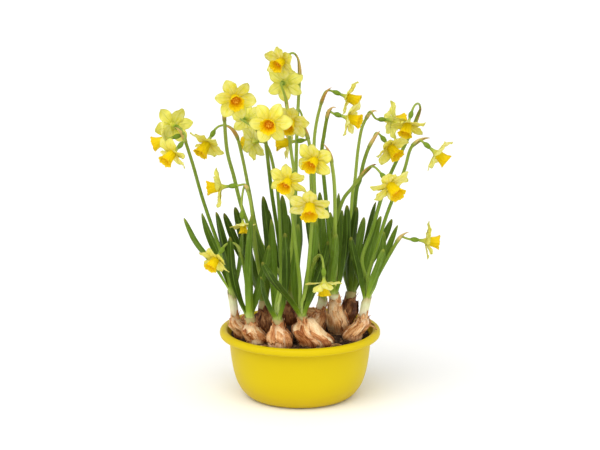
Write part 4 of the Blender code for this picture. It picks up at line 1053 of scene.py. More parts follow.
def build_soil(mat):
    s = Soup("tone")
    nr, na = 74, 240
    rr = np.linspace(0.02, 1, nr) ** 0.8 * 69.6 * MM
    a = np.linspace(0, 2 * math.pi, na, endpoint=False)
    x, y = rr[:, None] * np.cos(a), rr[:, None] * np.sin(a)
    z = soil_height(x, y)
    top = np.stack([x, y, z], -1)
    side = top[-1:].copy()
    side[..., 2] = 58 * MM
    low = side.copy()
    low[..., :2] *= 68.0 / 69.6
    low[..., 2] = 50 * MM
    mid = low.copy()
    mid[..., :2] *= 0.02
    rings = np.concatenate([top, side, low, mid])
    tone = 0.5 + 0.5 * vnoise(rings, 70.0, 8)
    s.tube(rings, tone=tone)
    rng = np.random.default_rng(11)
    # crumbs of peat and bark lying on it
    for k in range(760):
        r = 68.6 * MM * math.sqrt(rng.uniform(0, 1))
        t = rng.uniform(0, 2 * math.pi)
        cx, cy = r * math.cos(t), r * math.sin(t)
        if any(math.hypot(cx / MM - v[0], cy / MM - v[1]) < max(v[2], v[3]) - 1.0 for v in BULBS.values()):
            continue
        size = rng.uniform(0.5, 1.5) * MM * (1.5 if rng.random() < 0.1 else 1)
        long = rng.uniform(1, 1.5) if rng.random() < 0.8 else rng.uniform(2, 4)
        cz = float(soil_height(np.array([cx]), np.array([cy]))[0]) + size * 0.2
        if math.hypot(cx, cy) + size * long > 70.4 * MM:
            continue
        yaw = rng.uniform(0, math.pi)
        u = np.array([math.cos(yaw), math.sin(yaw), rng.uniform(-0.2, 0.2)])
        v = np.array([-math.sin(yaw), math.cos(yaw), 0.0])
        w = np.cross(u, v)
        rings = []
        for q in np.linspace(-1, 1, 6):
            rad = math.sqrt(max(1 - q * q, 0.02))
            c = np.array([cx, cy, cz]) + u * q * size * long
            ang = np.linspace(0, 2 * math.pi, 7, endpoint=False)
            jit = 1 + 0.35 * rng.uniform(-1, 1, 7)
            rings.append(c + (rad * size * jit * np.cos(ang))[:, None] * v
                         + (rad * size * 0.7 * jit * np.sin(ang))[:, None] * w)
        s.tube(np.array(rings), tone=float(rng.uniform(0, 1.5) ** 1.2))
    return s.build("soil_bed", mat, ("potting_soil",), sharp=70)


NECKS = {"01": 4.7, "02": 6.0, "03": 6.2, "04": 6.0, "05": 6.2, "06": 6.0, "07": 6.2, "08": 5.6,
         "09": 5.6, "10": 6.2}            # visible neck radius, mm


BACK_IN_SHADE = {"03": 4, "05": 4, "10": 4}         # the back bulbs: their darker skins are painted shade


def bulb_surface(b, ang, z, off):
    """Point on a bulb's skin at heading ang and height z (mm), off outside it."""
    x, y, rx, ry, top, e, ny, sh = BULBS[b]
    z0, mid, neck = BULB_Z0 / MM, 71.0 + 0.06 * rx + 0.6 * max(top - 92.0, 0.0), NECKS[b]
    rise = top - mid - 6
    zs = [z0, z0 + 4.5, mid - 7, mid, mid + 5.6, mid + 6 + rise * 0.42, mid + 6 + rise * 0.78, top]
    rs = [4.0, rx * 0.74, rx * 0.98, rx, rx * 0.90, max(neck + 1.5, rx * 0.62), neck + 0.5, neck - 0.2]
    r = soft_curve(zs, rs, z) + off
    foot, _ = neck_top(b)
    t = smooth((z - 68) / ((top - 4) - 68))
    cx = x * MM + (foot[0] - x * MM) * t
    cy = y * MM + (foot[1] - y * MM) * t
    q = 1 - smooth((z - 74) / ((top - 6) - 74))
    sy = 1.0 + (ry / rx - 1.0) * q
    return np.stack([cx + r * MM * np.cos(ang), cy + r * MM * sy * np.sin(ang), z * MM + 0 * ang], -1)


def build_bulb(b, mats):
    x, y, rx, ry, top, e, ny, sh = BULBS[b]
    seed = int(b) * 17
    rng = np.random.default_rng(seed)
    na, nz = 112, 80
    ang = np.linspace(0, 2 * math.pi, na, endpoint=False)
    zz = 52.0 + (top - 52.0) * np.linspace(0, 1, nz)
    A, Z = np.meshgrid(ang, zz)
    key = np.stack([np.cos(A) * 2.2, np.sin(A) * 2.2, Z * 0.03], -1)
    ridge = vnoise(key, 3.0, seed) * 0.32 + vnoise(key, 7.0, seed + 1) * 0.20
    lump = vnoise(np.stack([np.cos(A), np.sin(A), Z * 0.06], -1), 1.3, seed + 2) * 0.5
    belly = smooth((Z - 55) / 8) * (1 - 0.5 * smooth((Z - top + 8) / 8))
    P = bulb_surface(b, A, Z, (ridge + lump) * belly - 0.35)
    s = Soup("ang", "up", "tone")
    up = (Z - 52) / (top - 52)
    # the heading wraps with a mirrored half so the fibres meet without a seam
    wrap = np.abs(((A / math.pi + 0.37 * (int(b) % 5)) % 2.0) - 1.0)
    s.tube(P, ang=wrap, up=up, tone=float(rng.uniform(0.1, 0.9)))
    if b == "06":       # its second nose, beside the first
        c0 = np.array([19.0, -46.5, 66.0]) * MM
        c1 = np.array([10.5, -48.5, 93.0]) * MM
        lev = np.linspace(0, 1, 26)
        rad = soft_curve([0, 0.25, 0.6, 0.85, 1.0], [12.0, 12.6, 8.4, 5.2, 3.6], lev)
        rings = []
        for q, r in zip(lev, rad):
            c = c0 + (c1 - c0) * q
            f = 1 + 0.03 * vnoise(np.stack([np.cos(ang[::2]) * 3, np.sin(ang[::2]) * 3,
                                            np.full(na // 2, q)], -1), 3.0, 5)
            rings.append(np.stack([c[0] + r * MM * f * np.cos(ang[::2]) * 1.0,
                                   c[1] + r * MM * f * np.sin(ang[::2]) * 0.85,
                                   np.full(na // 2, c[2])], -1))
        w2 = wrap[0, ::2]
        s.tube(np.array(rings), ang=np.broadcast_to(w2, (26, na // 2)), up=lev[:, None] * 0.5 + 0.45
               + np.zeros((1, na // 2)), tone=0.3)
    body = s.build("bulb_%s_flesh" % b, mats[BACK_IN_SHADE.get(b, int(b) // 2 % 2)], ("bulb_" + b,))

    # loose papery skins: torn sheets lying over the bulb, lifting at their edges
    k = Soup("ang", "up", "tone")
    sheets = 8
    for i in range(sheets):
        a0 = 2 * math.pi * (i + rng.uniform(-0.3, 0.3)) / sheets
        half = rng.uniform(0.22, 0.56)
        z0 = rng.uniform(63, 71)
        z1 = rng.uniform(0.5, 0.98) * (top - 71) + 71
        lift = rng.uniform(0.3, 1.3)
        tone = float(rng.uniform(0, 1))
        nn, mm = 22, 15
        rings = []
        atts = []
        for q in np.linspace(0, 1, nn):
            z = z0 + (z1 - z0) * q
            wid = half * (0.55 + 0.45 * math.sin(math.pi * min(1, q * 0.8 + 0.15)))
            tear = 0.16 * cell(i, int(q * 9), seed, 7) + 0.08 * cell(i, int(q * 21), seed, 9)
            ww = np.linspace(-1, 1, mm)
            aa = a0 + (wid + tear * wid) * ww + 0.12 * vnoise(np.array([[q * 3, i, seed]]), 1.0, 3)[0]
            edge = np.abs(ww) ** 4 * lift * (1 if i % 2 else 0.5) + smooth((q - 0.75) / 0.25) * lift * 0.9
            off = 0.30 + 0.16 * (i % 3) + edge
            wob = 0.25 * vnoise(np.stack([aa * 4, np.full(mm, z * 0.12), np.full(mm, i * 3.3)], -1), 1.0, seed)
            zz_ = z + 1.3 * vnoise(np.stack([aa * 5, np.full(mm, i), np.full(mm, seed)], -1), 1.0, 4) * (
                1.5 if q > 0.9 or q < 0.05 else 0.3)
            zz_ = np.minimum(zz_, top + 1.5)
            face = bulb_surface(b, aa, zz_, off + wob)
            back = bulb_surface(b, aa, zz_, off + wob - 0.16)
            rings.append(np.concatenate([face, back[::-1]]))
            wr = np.abs(((aa / math.pi + 0.61 * i) % 2.0) - 1.0)
            atts.append((np.concatenate([wr, wr[::-1]]), np.full(2 * mm, (z - 52) / (top - 52))))
        k.tube(np.array(rings), ang=np.array([a for a, _ in atts]), up=np.array([u for _, u in atts]) * 0.9,
               tone=tone)
    # torn collar of dry skin standing round the neck
    foot, sh_top = sheath_axis(b)
    flaps = 9
    for i in range(flaps):
        a0 = 2 * math.pi * (i + rng.uniform(-0.4, 0.4)) / flaps
        length = rng.uniform(0.8, 6.5) * (1.3 if i % 4 == 0 else 0.8)
        half = rng.uniform(0.30, 0.62)
        curl = rng.uniform(-0.2, 1.2) if i % 3 else rng.uniform(1.2, 3.0)
        rings, wa = [], []
        nn, mm = 14, 9
        for q in np.linspace(0, 1, nn):
            rise = -3.0 + (length + 3.0) * q
            c = foot + (sh_top - foot) / np.linalg.norm(sh_top - foot) * rise * MM
            r = (NECKS[b] + 0.15 - 0.9 * q + curl * max(0, q - 0.45) ** 1.5 * 2.5)
            wid = half * (1 - 0.8 * q ** 2.2) * (1 + 0.25 * cell(i, int(q * 7), seed, 5)) + 0.02
            ww = np.linspace(-1, 1, mm)
            aa = a0 + wid * ww + 0.18 * q * cell(i, seed, 1, 3)
            rr = r + 0.15 * np.cos(ww * 5 + i)
            face = np.stack([c[0] + rr * MM * np.cos(aa), c[1] + rr * MM * np.sin(aa), c[2] + 0 * aa], -1)
            back = np.stack([c[0] + (rr - 0.14) * MM * np.cos(aa), c[1] + (rr - 0.14) * MM * np.sin(aa),
                             c[2] + 0 * aa], -1)
            rings.append(np.concatenate([face, back[::-1]]))
            wr = 0.5 + 0.15 * ww
            wa.append(np.concatenate([wr, wr[::-1]]))
        k.tube(np.array(rings), ang=np.array(wa), up=np.linspace(0.6, 0.9, nn)[:, None] + np.zeros((1, 2 * mm)),
               tone=float(rng.uniform(0, 1)))
    skins = k.build("bulb_%s_skins" % b, mats[BACK_IN_SHADE.get(b, 2 + int(b) % 2)])
    return body, skins


PINCH = {"01": 0.56, "08": 0.66, "09": 0.62}      # how tight each sheath is drawn


def tighten(b, pts, far, reach=0.034):
    """Draw the foot of a strand in towards its sheath's axis; far is the
    distance of each point along it."""
    foot, top = sheath_axis(b)
    lean = (top - foot) / (top - foot)[2]
    k = PINCH.get(b, 0.74)
    k = k + (1 - k) * smooth((np.asarray(far) - 0.002) / reach)
    mid = foot + (pts[:, 2] - foot[2])[:, None] * lean
    out = mid + (pts - mid) * k[:, None]
    out[:, 2] = pts[:, 2]
    return out


def build_leaves(b, strands, mats):
    mine = sorted([s for s in strands if s.kind == "leaf" and s.bulb == b], key=lambda s: s.angle)
    foot, top = sheath_axis(b)
    n = len(mine)
    k = Soup("along", "across", "tone", "side")
    axis = (top - foot)
    pin = PINCH.get(b, 0.74)
    for i, s in enumerate(mine):
        rng = np.random.default_rng(1000 + int(b) * 31 + i)
        lead = np.linspace(-0.16, 0.0, 7)[:-1]
        run = np.concatenate([np.linspace(0, 0.88, 46), np.linspace(0.88, 1.0, 14)[1:]])
        along = np.concatenate([lead, run])
        size = seg_len(s)
        pts = tighten(b, s.at(run), run * size, 0.066)
        tan = np.gradient(pts, axis=0)
        tan /= np.linalg.norm(tan, axis=1)[:, None]
        ring = np.array([-math.sin(s.angle), math.cos(s.angle), 0.0])
        out = np.array([math.cos(s.angle), math.sin(s.angle), 0.0])
        flip = 1.0 if ring[0] >= 0 else -1.0
        lay = (0.35 if i % 2 else -0.35) * MM
        low = [foot + axis * (q + 0.16) / 0.16 + out * (SHEATH_MID * pin + lay) for q in lead]
        low_t = axis / np.linalg.norm(axis)
        ns = 15
        w = np.linspace(-1, 1, ns)
        twist = math.radians(rng.uniform(18, 46)) * rng.choice([-1, 1])
        show = rng.uniform(0.30, 0.75)
        deep = rng.uniform(0.22, 0.42)
        wave = rng.uniform(0, 6.28)
        rings, al = [], []
        arc_half = math.pi / n * 1.12
        for j, q in enumerate(along):
            if j < len(lead):
                c, t, tq = low[j], low_t, 0.0
            else:
                c, t, tq = pts[j - len(lead)], tan[j - len(lead)], q
                c = c + out * lay * (1 - min(1, tq * 6))
            mix = show * float(smooth((tq - 0.05) / 0.6))
            wd = ring * (1 - mix) + np.array([flip, 0, 0]) * mix
            wd = wd - t * np.dot(wd, t)
            wd /= np.linalg.norm(wd)
            nr = np.cross(wd, t)
            if np.dot(nr, np.cross(ring, [0, 0, 1.0])) < 0:
                nr = -nr
            tw = twist * tq ** 1.3
            wd, nr = (wd * math.cos(tw) + nr * math.sin(tw), nr * math.cos(tw) - wd * math.sin(tw))
            g = float(smooth(tq * size / 0.020))             # wrapped at the foot, a blade above
            wrap_r = SHEATH_MID * pin
            hx = wrap_r * np.sin(arc_half * w)
            hz = wrap_r * (np.cos(arc_half * w) - 1.0)
            wide = blade_width(s, tq, size) / 2
            bx = wide * w * (1 - 0.10 * deep)
            dish = deep * (1 - 0.45 * tq) + 0.05 * math.sin(7 * tq + wave)
            bz = -wide * dish * (np.abs(w) ** 1.6) * 1.6 + 0.20 * MM * np.sin(11 * tq + wave) * w
            px, pz = hx * (1 - g) + bx * g, hz * (1 - g) + bz * g
            rib = 0.06 * MM * np.cos(w * 16) * g
            keel = 0.34 * MM * np.exp(-(w / 0.22) ** 2) * g * (1 - 0.6 * tq)
            thick = (0.95 - 0.65 * np.abs(w) ** 2.5) * MM * (0.75 + 0.25 * g)
            if tq > 0.9:
                thick = thick * (1 - 0.5 * (tq - 0.9) / 0.1)
            face = c + px[:, None] * wd + (pz + thick / 2 + rib + keel)[:, None] * nr
            back = c + px[:, None] * wd + (pz - thick / 2)[:, None] * nr
            rings.append(np.concatenate([face, back[::-1]]))
            al.append(q)
        rings = np.array(rings)
        al = np.clip((np.array(al) + 0.16) / 1.16, 0, 1)
        ww = np.concatenate([w, w[::-1]])
        k.tube(rings, along=al[:, None] + np.zeros((1, 2 * ns)), across=np.broadcast_to(ww, rings.shape[:2]),
               side=np.broadcast_to(np.r_[np.zeros(ns), np.ones(ns)], rings.shape[:2]),
               tone=float(rng.uniform(0.0, 1.0)))
    blades = k.build("leaves_%s_blades" % b, mats["leaf" if b not in BACK_IN_SHADE else "leaf_in_shade"], ("leaves_" + b,))
    # the thin sleeve that holds the leaf feet together
    m = Soup("along", "across", "tone")
    rng = np.random.default_rng(500 + int(b))
    na = 60
    a = np.linspace(0, 2 * math.pi, na, endpoint=False)
    height = np.linalg.norm(axis) / MM
    rise = min(height * 0.92, height - 0.6)
    up = axis / np.linalg.norm(axis)
    rings, al, ac = [], [], []
    cut = 0.16 * np.sin(a + rng.uniform(0, 6)) + 0.07 * np.sin(3 * a + 1) + 0.04 * np.sin(11 * a)
    lev = list(np.linspace(0, 1, 16))
    out_r = SHEATH_MID * pin + 0.95 * MM
    for ins in (False, True):
        for q in (lev if not ins else lev[::-1]):
            hgt = np.clip(q * (1 + cut * q), 0, 1.2) * rise * MM
            r = (out_r + (0.05 if not ins else -0.16) * MM
                 + 0.10 * MM * np.cos(9 * a + 2 * q) * q + 0.15 * MM * q * q)
            c = foot[None, :] + hgt[:, None] * up
            rings.append(c + np.stack([r * np.cos(a), r * np.sin(a), 0 * a], -1))
            al.append(q)
            ac.append(np.abs(a / math.pi - 1.0))
    m.tube(np.array(rings), along=np.array(al)[:, None] + np.zeros((1, na)), across=np.array(ac),
           tone=float(rng.uniform(0, 1)) - (0.0 if b in ("01", "07", "08", "09") else 2.0))
    sleeve = m.build("leaves_%s_sleeve" % b, mats["sheath"])
    return blades, sleeve


def blade_width(s, t, size):
    full = s.width * 1.09 * MM
    foot_w = min(8.4 * MM, full)
    w = foot_w + (full - foot_w) * float(smooth((t * size - 0.004) / 0.026))
    w *= 1.0 - 0.10 * float(smooth((t - 0.5) / 0.4))
    if t > 0.74:
        w *= math.sqrt(max(1 - ((t - 0.74) / 0.2605) ** 2.0, 0.0))
    return max(w, 0.25 * MM)


def build_stalks(b, strands, blooms, mats):
    mine = [s for s in strands if s.kind == "stalk" and s.bulb == b]
    foot, top = sheath_axis(b)
    k = Soup("along", "across", "tone", "kind")
    sp = Soup("along", "across", "tone")
    cells = stalk_cells(b)
    for i, s in enumerate(mine):
        rng = np.random.default_rng(2000 + int(b) * 13 + i)
        tone = float(rng.uniform(0, 1))
        cx, cy = cells[s.name]
        n = 16
        run = np.linspace(0, 1, 84)
        pin = PINCH.get(b, 0.74)
        pts = tighten(b, s.at(run), run * seg_len(s))
        start = foot + np.array([cx * pin, cy * pin, 0.5 * MM])
        lead = np.array([start + (pts[0] - start) * q for q in np.linspace(0, 1, 5)[:-1]])
        mates = [f for f in blooms if f.stalk is s]
        first = min(mates, key=lambda f: angle_to(s, f))
        path = np.vstack([lead, pts])
        fr = carry_frames(path, (1.0, 0.0, 0.0))
        share = np.r_[np.linspace(-0.06, 0, 5)[:-1], run]
        rad = STALK_R * (1.06 - 0.20 * np.clip(share, 0, 1)) * (1 + 0.10 * np.exp(-((share - 1.0) / 0.02) ** 2))
        rings = []
        ph = rng.uniform(0, 6)
        for c, r, (u, v), q in zip(path, rad, fr, share):
            turn = ph + 0.5 * q
            rings.append(ring_points(c, u, v, r, n, lambda a: 1 + 0.07 * np.cos(2 * (a - turn))
                                     + 0.035 * np.cos(8 * a)))
        rings = np.array(rings)
        ac = np.abs(np.linspace(0, 2, n, endpoint=False) - 1)
        k.tube(rings, along=np.clip((share[:, None] + 0.06) / 1.06, 0, 1) + np.zeros((1, n)),
               across=np.broadcast_to(ac, rings.shape[:2]), tone=tone, kind=0.0)
        t_end = pts[-1] - pts[-4]
        t_end /= np.linalg.norm(t_end)
        for f in mates:
            ped = f.pedicel(22)
            d = np.gradient(ped, axis=0)
            ped[0] = ped[0] - t_end * 1.2 * MM
            pr = carry_frames(ped, (1.0, 0.0, 0.0))
            lev = np.linspace(0, 1, len(ped))
            rr = PEDICEL_R * (1.28 - 0.28 * smooth(lev / 0.3)) * (1 + 0.15 * smooth((lev - 0.85) / 0.15))
            rings = np.array([ring_points(c, u, v, r, 12, lambda a: 1 + 0.05 * np.cos(3 * a))
                              for c, r, (u, v) in zip(ped, rr, pr)])
            ac = np.abs(np.linspace(0, 2, 12, endpoint=False) - 1)
            k.tube(rings, along=lev[:, None] + np.zeros((1, 12)), across=np.broadcast_to(ac, rings.shape[:2]),
                   tone=tone, kind=1.0)
            # the green three-sided ovary
            end = ped[-1]
            ol = np.linspace(-0.12, 1.03, 18)
            ov = soft_curve([-0.12, 0.05, 0.3, 0.6, 0.88, 1.03],
                            [PEDICEL_R * 0.9, PEDICEL_R * 1.5, OVARY_R * 0.96, OVARY_R * 1.0,
                             OVARY_R * 0.80, OVARY_R * 0.62], ol)
            ov = ov * (0.75 + 0.25 * f.size)
            rings = np.array([ring_points(end + f.d * OVARY_LEN * q, f.u, f.v, r, 24,
                                          lambda a: 1 + 0.09 * np.cos(3 * a) - 0.02 * np.cos(6 * a))
                              for q, r in zip(ol, ov)])
            ac = np.abs(np.linspace(0, 2, 24, endpoint=False) - 1)
            k.tube(rings, along=np.clip(ol, 0, 1)[:, None] + np.zeros((1, 24)),
                   across=np.broadcast_to(ac, rings.shape[:2]), tone=tone, kind=2.0)
        # papery bract: wraps the bend, then runs on beside the stalklet
        end = np.mean([f.pedicel(10)[-1] for f in mates], axis=0)
        lead_v = end - pts[-1]
        reach = np.linalg.norm(lead_v)
        lead_v /= max(reach, 1e-9)
        fresh = s.name in ("e", "l")
        length = rng.uniform(16, 24) * MM * (1.5 if s.name == "s" else 0.62 if fresh else 1.0)
        p0 = s.at(0.965)[0]
        side = np.cross(t_end, lead_v)
        side /= max(np.linalg.norm(side), 1e-6)
        hook = rng.uniform(0.0, 0.45)
        tip = (pts[-1] + t_end * length * (0.48 - 0.5 * hook) + lead_v * length * (0.42 + 0.3 * hook)
               + side * rng.uniform(-0.10, 0.10) * length + np.array([0, 0, rng.uniform(0.0, 0.10) * length]))
        curve = bezier(p0, p0 + t_end * length * 0.45, pts[-1] + t_end * length * 0.45
                       + lead_v * length * 0.18, tip, np.linspace(0, 1, 26))
        fr = carry_frames(curve, lead_v - t_end * np.dot(lead_v, t_end) + 1e-6)
        lev = np.linspace(0, 1, 26)
        openness = math.radians(62)
        mm = 17
        ww = np.linspace(-1, 1, mm)
        rings = []
        for c, (u, v), q in zip(curve, fr, lev):
            r = soft_curve([0, 0.12, 0.35, 0.6, 0.85, 1.0], [2.02, 2.12, 2.05, 1.45, 0.75, 0.10], q) * MM
            spread = math.pi - openness * (0.3 + 0.7 * q)
            a = spread * ww * (1 - 0.35 * q)
            crinkle = 0.12 * MM * np.sin(6 * q + 4 * ww + i) * (1 - q * 0.5)
            rr = r + crinkle
            # its back lies outside the bend, its open side faces the stalklet
            fx, fy = -np.cos(a), np.sin(a)
            face = c + (rr * fx)[:, None] * u + (rr * fy)[:, None] * v
            back = c + ((rr - 0.16 * MM) * fx)[:, None] * u + ((rr - 0.16 * MM) * fy)[:, None] * v
            rings.append(np.concatenate([face, back[::-1]]))
        rings = np.array(rings)
        ac = np.concatenate([ww, ww[::-1]])
        sp.tube(rings, along=lev[:, None] + np.zeros((1, 2 * mm)), across=np.broadcast_to(ac, rings.shape[:2]),
                tone=float(rng.uniform(0, 1)) - (2.0 if fresh else 0.0))
    a = k.build("stalks_%s_stems" % b, mats["stalk"], ("stalks_" + b,))
    c = sp.build("stalks_%s_bracts" % b, mats["spathe"])
    return a, c


def build_flower(f, mats):
    rng = np.random.default_rng(3000 + int(f.name) * 7)
    c, d, u, v, k = f.centre(), f.d, f.u, f.v, f.size
    tone0 = float(rng.uniform(0, 1))
    # six petals in two whorls
    p = Soup("along", "across", "tone", "side")
    sweep = rng.uniform(-18, 12)
    if f.name == "27":
        sweep = 14
    for i in range(6):
        outer = i % 2 == 0
        ang = math.radians(60 * i + 60 + rng.uniform(-4, 4))
        out = math.cos(ang) * u + math.sin(ang) * v
        sd = -math.sin(ang) * u + math.cos(ang) * v
        t = np.concatenate([np.linspace(0, 0.8, 18), np.linspace(0.8, 1, 12)[1:]])
        b0 = math.radians(rng.uniform(-2, 16) + (4 if not outer else 0))
        b1 = math.radians(sweep + rng.uniform(-22, 18))
        beta = b0 + b1 * t ** 1.2
        dt = np.diff(t, prepend=0)
        r0 = 3.0 * MM * k
        reach = PETAL_REACH * k * rng.uniform(0.95, 1.02) - r0
        x = r0 + np.cumsum(np.cos(beta) * dt) * reach
        z = np.cumsum(np.sin(beta) * dt) * reach + (0.35 if not outer else -0.30) * MM
        half = 7.0 * MM * k * (1.06 if outer else 0.92) * rng.uniform(0.92, 1.08)
        peak = rng.uniform(-0.04, 0.04)
        wid = half * soft_curve([0, 0.12, 0.33 + peak, 0.56 + peak, 0.77, 0.90, 0.97, 1],
                                [0.36, 0.58, 0.91, 1.0, 0.78, 0.46, 0.20, 0.02], t)
        wid = np.maximum(wid, 0.06 * MM)
        twist = math.radians(rng.uniform(-30, 30))
        cup = rng.uniform(-0.10, 0.26)
        ph = rng.uniform(0, 6.28)
        amp = rng.uniform(0.6, 1.6) * MM * k
        frilly = rng.uniform(0.10, 0.30) * MM * k
        ns = 17
        w = np.linspace(-1, 1, ns)
        rings = []
        for j in range(len(t)):
            q = t[j]
            nr = d * math.cos(beta[j]) - out * math.sin(beta[j])
            tw = twist * q
            wd, nn = (sd * math.cos(tw) + nr * math.sin(tw), nr * math.cos(tw) - sd * math.sin(tw))
            base = c + out * x[j] + d * z[j]
            zz = (cup * wid[j] * w ** 2 + amp * q * np.sin(3.4 * q * math.pi + ph + 1.3 * w) * w ** 2 * np.sign(w)
                  + frilly * np.sin(21 * q + ph * 2 + 2.0 * np.sign(w)) * np.abs(w) ** 3 * smooth(q / 0.3)
                  - 0.26 * MM * np.exp(-(w / 0.13) ** 2) * (1 - q) + 0.06 * MM * np.cos(w * 19)
                  + 0.22 * MM * np.sin(ph + q * 5) * (1 - w ** 2))
            th = (0.46 - 0.26 * w ** 2) * MM * (1 - 0.35 * q)
            face = base + (wid[j] * w)[:, None] * wd + (zz + th / 2)[:, None] * nn
            back = base + (wid[j] * w)[:, None] * wd + (zz - th / 2)[:, None] * nn
            rings.append(np.concatenate([face, back[::-1]]))
        rings = np.array(rings)
        ac = np.concatenate([w, w[::-1]])
        sdv = np.r_[np.zeros(ns), np.ones(ns)]
        p.tube(rings, along=t[:, None] + np.zeros((1, 2 * ns)), across=np.broadcast_to(ac, rings.shape[:2]),
               side=np.broadcast_to(sdv, rings.shape[:2]), tone=float(np.clip(tone0 + rng.uniform(-0.2, 0.2), 0, 1)))
    petals = p.build("flower_%s_petals" % f.name, mats["petal"], ("flower_" + f.name,))

    # the green-gold tube behind them
    tb = Soup("along", "across", "tone")
    lev = np.linspace(-0.02, 1.0, 20)
    rad = soft_curve([-0.02, 0.25, 0.6, 0.85, 1.0], [1.5, 1.75, 2.3, 3.3, 4.3], lev) * MM * k
    rings = np.array([ring_points(c + d * (-TUBE_LEN * k * (1 - q) + 0.2 * MM), u, v, r, 36,
                                  lambda a: 1 + 0.05 * np.cos(6 * a)) for q, r in zip(lev, rad)])
    ac = np.abs(np.linspace(0, 2, 36, endpoint=False) - 1)
    tb.tube(rings, along=lev[:, None] + np.zeros((1, 36)), across=np.broadcast_to(ac, rings.shape[:2]), tone=tone0)
    tb.build("flower_%s_tube" % f.name, mats["tube"])

    # frilled cup
    g = Soup("along", "across", "tone", "side")
    na, nt = 96, 21
    a = np.linspace(0, 2 * math.pi, na, endpoint=False)
    t = np.linspace(0, 1, nt)
    ph, ph2, ph3 = rng.uniform(0, 6.28, 3)
    frill = rng.uniform(0.55, 1.0) * MM * k
    flare = rng.uniform(0.85, 1.12)

    def shell(tt, thick):
        r = (CUP_R0 * 0.96 + (CUP_R1 - CUP_R0) * (0.42 * tt + 0.30 * tt ** 2 + 0.28 * tt ** 6 * flare)) * k
        wav = smooth((tt - 0.55) / 0.45)
        rr = (r + 0.14 * MM * k * np.cos(12 * a + 1.0) * smooth(tt / 0.3)
              + wav * frill * (0.45 * np.sin(6 * a + ph) + 0.42 * np.sin(11 * a + ph2) + 0.25 * np.sin(19 * a + ph3))
              + 0.25 * MM * wav * np.sin(2 * a + ph3))
        zz = (CUP_LEN * k * tt + wav * frill * (0.40 * np.sin(6 * a + ph + 1.2) + 0.30 * np.sin(13 * a + ph3)))
        rr = rr - thick
        return (c + (rr * np.cos(a))[:, None] * u + (rr * np.sin(a))[:, None] * v + zz[:, None] * d)

    rings, al, sdv = [], [], []
    for q in t:
        rings.append(shell(q, 0.0)); al.append(q); sdv.append(0.0)
    for q in t[::-1]:
        if q < 0.04:
            break
        rings.append(shell(q, 0.42 * MM)); al.append(q); sdv.append(1.0)
    floor = rings[-1].mean(0)
    for m_ in (0.6, 0.2):
        rings.append(floor + (rings[-1] - floor) * m_); al.append(0.0); sdv.append(1.0)
    rings = np.array(rings)
    wr = np.abs(a / math.pi - 1)
    g.tube(rings, along=np.array(al)[:, None] + np.zeros((1, na)), side=np.array(sdv)[:, None] + np.zeros((1, na)),
           across=np.broadcast_to(wr, rings.shape[:2]), tone=tone0)
    g.build("flower_%s_cup" % f.name, mats["cup"])

    # six stamens round the style
    st = Soup("along", "tone")
    for i in range(7):
        ang = math.radians(60 * i + 20)
        style = i == 6
        rad_at = (0 if style else 1.7) * MM * k
        base = c + d * 0.4 * MM + (math.cos(ang) * u + math.sin(ang) * v) * rad_at
        lean = (math.cos(ang) * u + math.sin(ang) * v) * (0 if style else 0.06)
        axis = d + lean
        axis = axis / np.linalg.norm(axis)
        L = (10.4 if style else rng.uniform(7.4, 8.4)) * MM * k
        lev = np.linspace(0, 1, 14)
        prof = (soft_curve([0, 0.5, 0.86, 0.93, 1.0], [0.42, 0.36, 0.36, 0.85, 0.35], lev) if style else
                soft_curve([0, 0.45, 0.56, 0.75, 0.92, 1.0], [0.26, 0.22, 0.62, 0.80, 0.62, 0.12], lev)) * MM * k
        rings = np.array([ring_points(base + axis * L * q, u, v, r, 10) for q, r in zip(lev, prof)])
        st.tube(rings, along=lev[:, None] + np.zeros((1, 10)), tone=0.2 if style else 0.8)
    st.build("flower_%s_stamens" % f.name, mats["stamen"])


def dry_strands(mat):
    """Loose strips of old skin lying between the outer bulbs and over the rim."""
    k = Soup("ang", "up", "tone")
    rng = np.random.default_rng(77)
    rows = [((62, -14, 72), (70, -15, 76.5), (77.5, -18, 73.2), 2.4), ((60, 6, 68), (68, 3, 75.5), (76, -2, 72.6), 2.2),
            ((-30, -57, 65.5), (-36, -60, 68.5), (-42, -61, 67.5), 2.4), ((28, -58, 65), (34, -59, 69), (41, -57, 68), 2.4),
            ((-60, 12, 65.5), (-64, 17, 69), (-66, 24, 68), 2.4), ((10, 56, 65.5), (18, 58, 69), (26, 57, 67), 2.4),
            ((58, 20, 65), (61, 27, 69), (60, 35, 68), 2.6),
            ((-60, 29, 69), (-54, 38, 70), (-45, 43, 69), 5.4), ((-46, 46, 68), (-36, 50, 69), (-27, 49, 68), 5.0),
            ((-4, 55, 69), (8, 58, 70.2), (21, 55, 68.5), 5.6), ((12, 50, 68), (20, 51, 69), (27, 47, 68), 4.8),
            ((60, 14, 68), (62, 20, 69.5), (60, 27, 68), 4.2), ((-64, 5, 68), (-63, 12, 69), (-62, 20, 68), 4.2)]
    for i, (a, b, c, broad) in enumerate(rows):
        pts = catmull(np.array([a, b, c], float) * MM, np.linspace(0, 1, 16))
        fr = carry_frames(pts, (0.0, -1.0, 0.3) if broad > 4 else (0.0, 0.3, 1.0))
        lev = np.linspace(0, 1, 16)
        rings = []
        for p_, (u, v), q in zip(pts, fr, lev):
            w = broad * math.sin(math.pi * (0.12 + 0.8 * q)) * (1 + 0.3 * cell(i, int(q * 8), 3, 5)) * MM
            ww = np.linspace(-1, 1, 7)
            bend = (0.4 + 0.14 * broad) * MM * np.sin(5 * q + 2.4 * ww + i)
            face = p_ + (w * ww)[:, None] * v + bend[:, None] * u
            back = face - 0.16 * MM * u
            rings.append(np.concatenate([face, back[::-1]]))
        k.tube(np.array(rings), ang=np.broadcast_to(np.r_[np.linspace(0.2, 0.8, 7), np.linspace(0.8, 0.2, 7)], (16, 14)),
               up=0.5 + 0.3 * lev[:, None] + np.zeros((1, 14)), tone=float(rng.uniform(0, 1)))
    k.build("loose_skin_strips", mat)


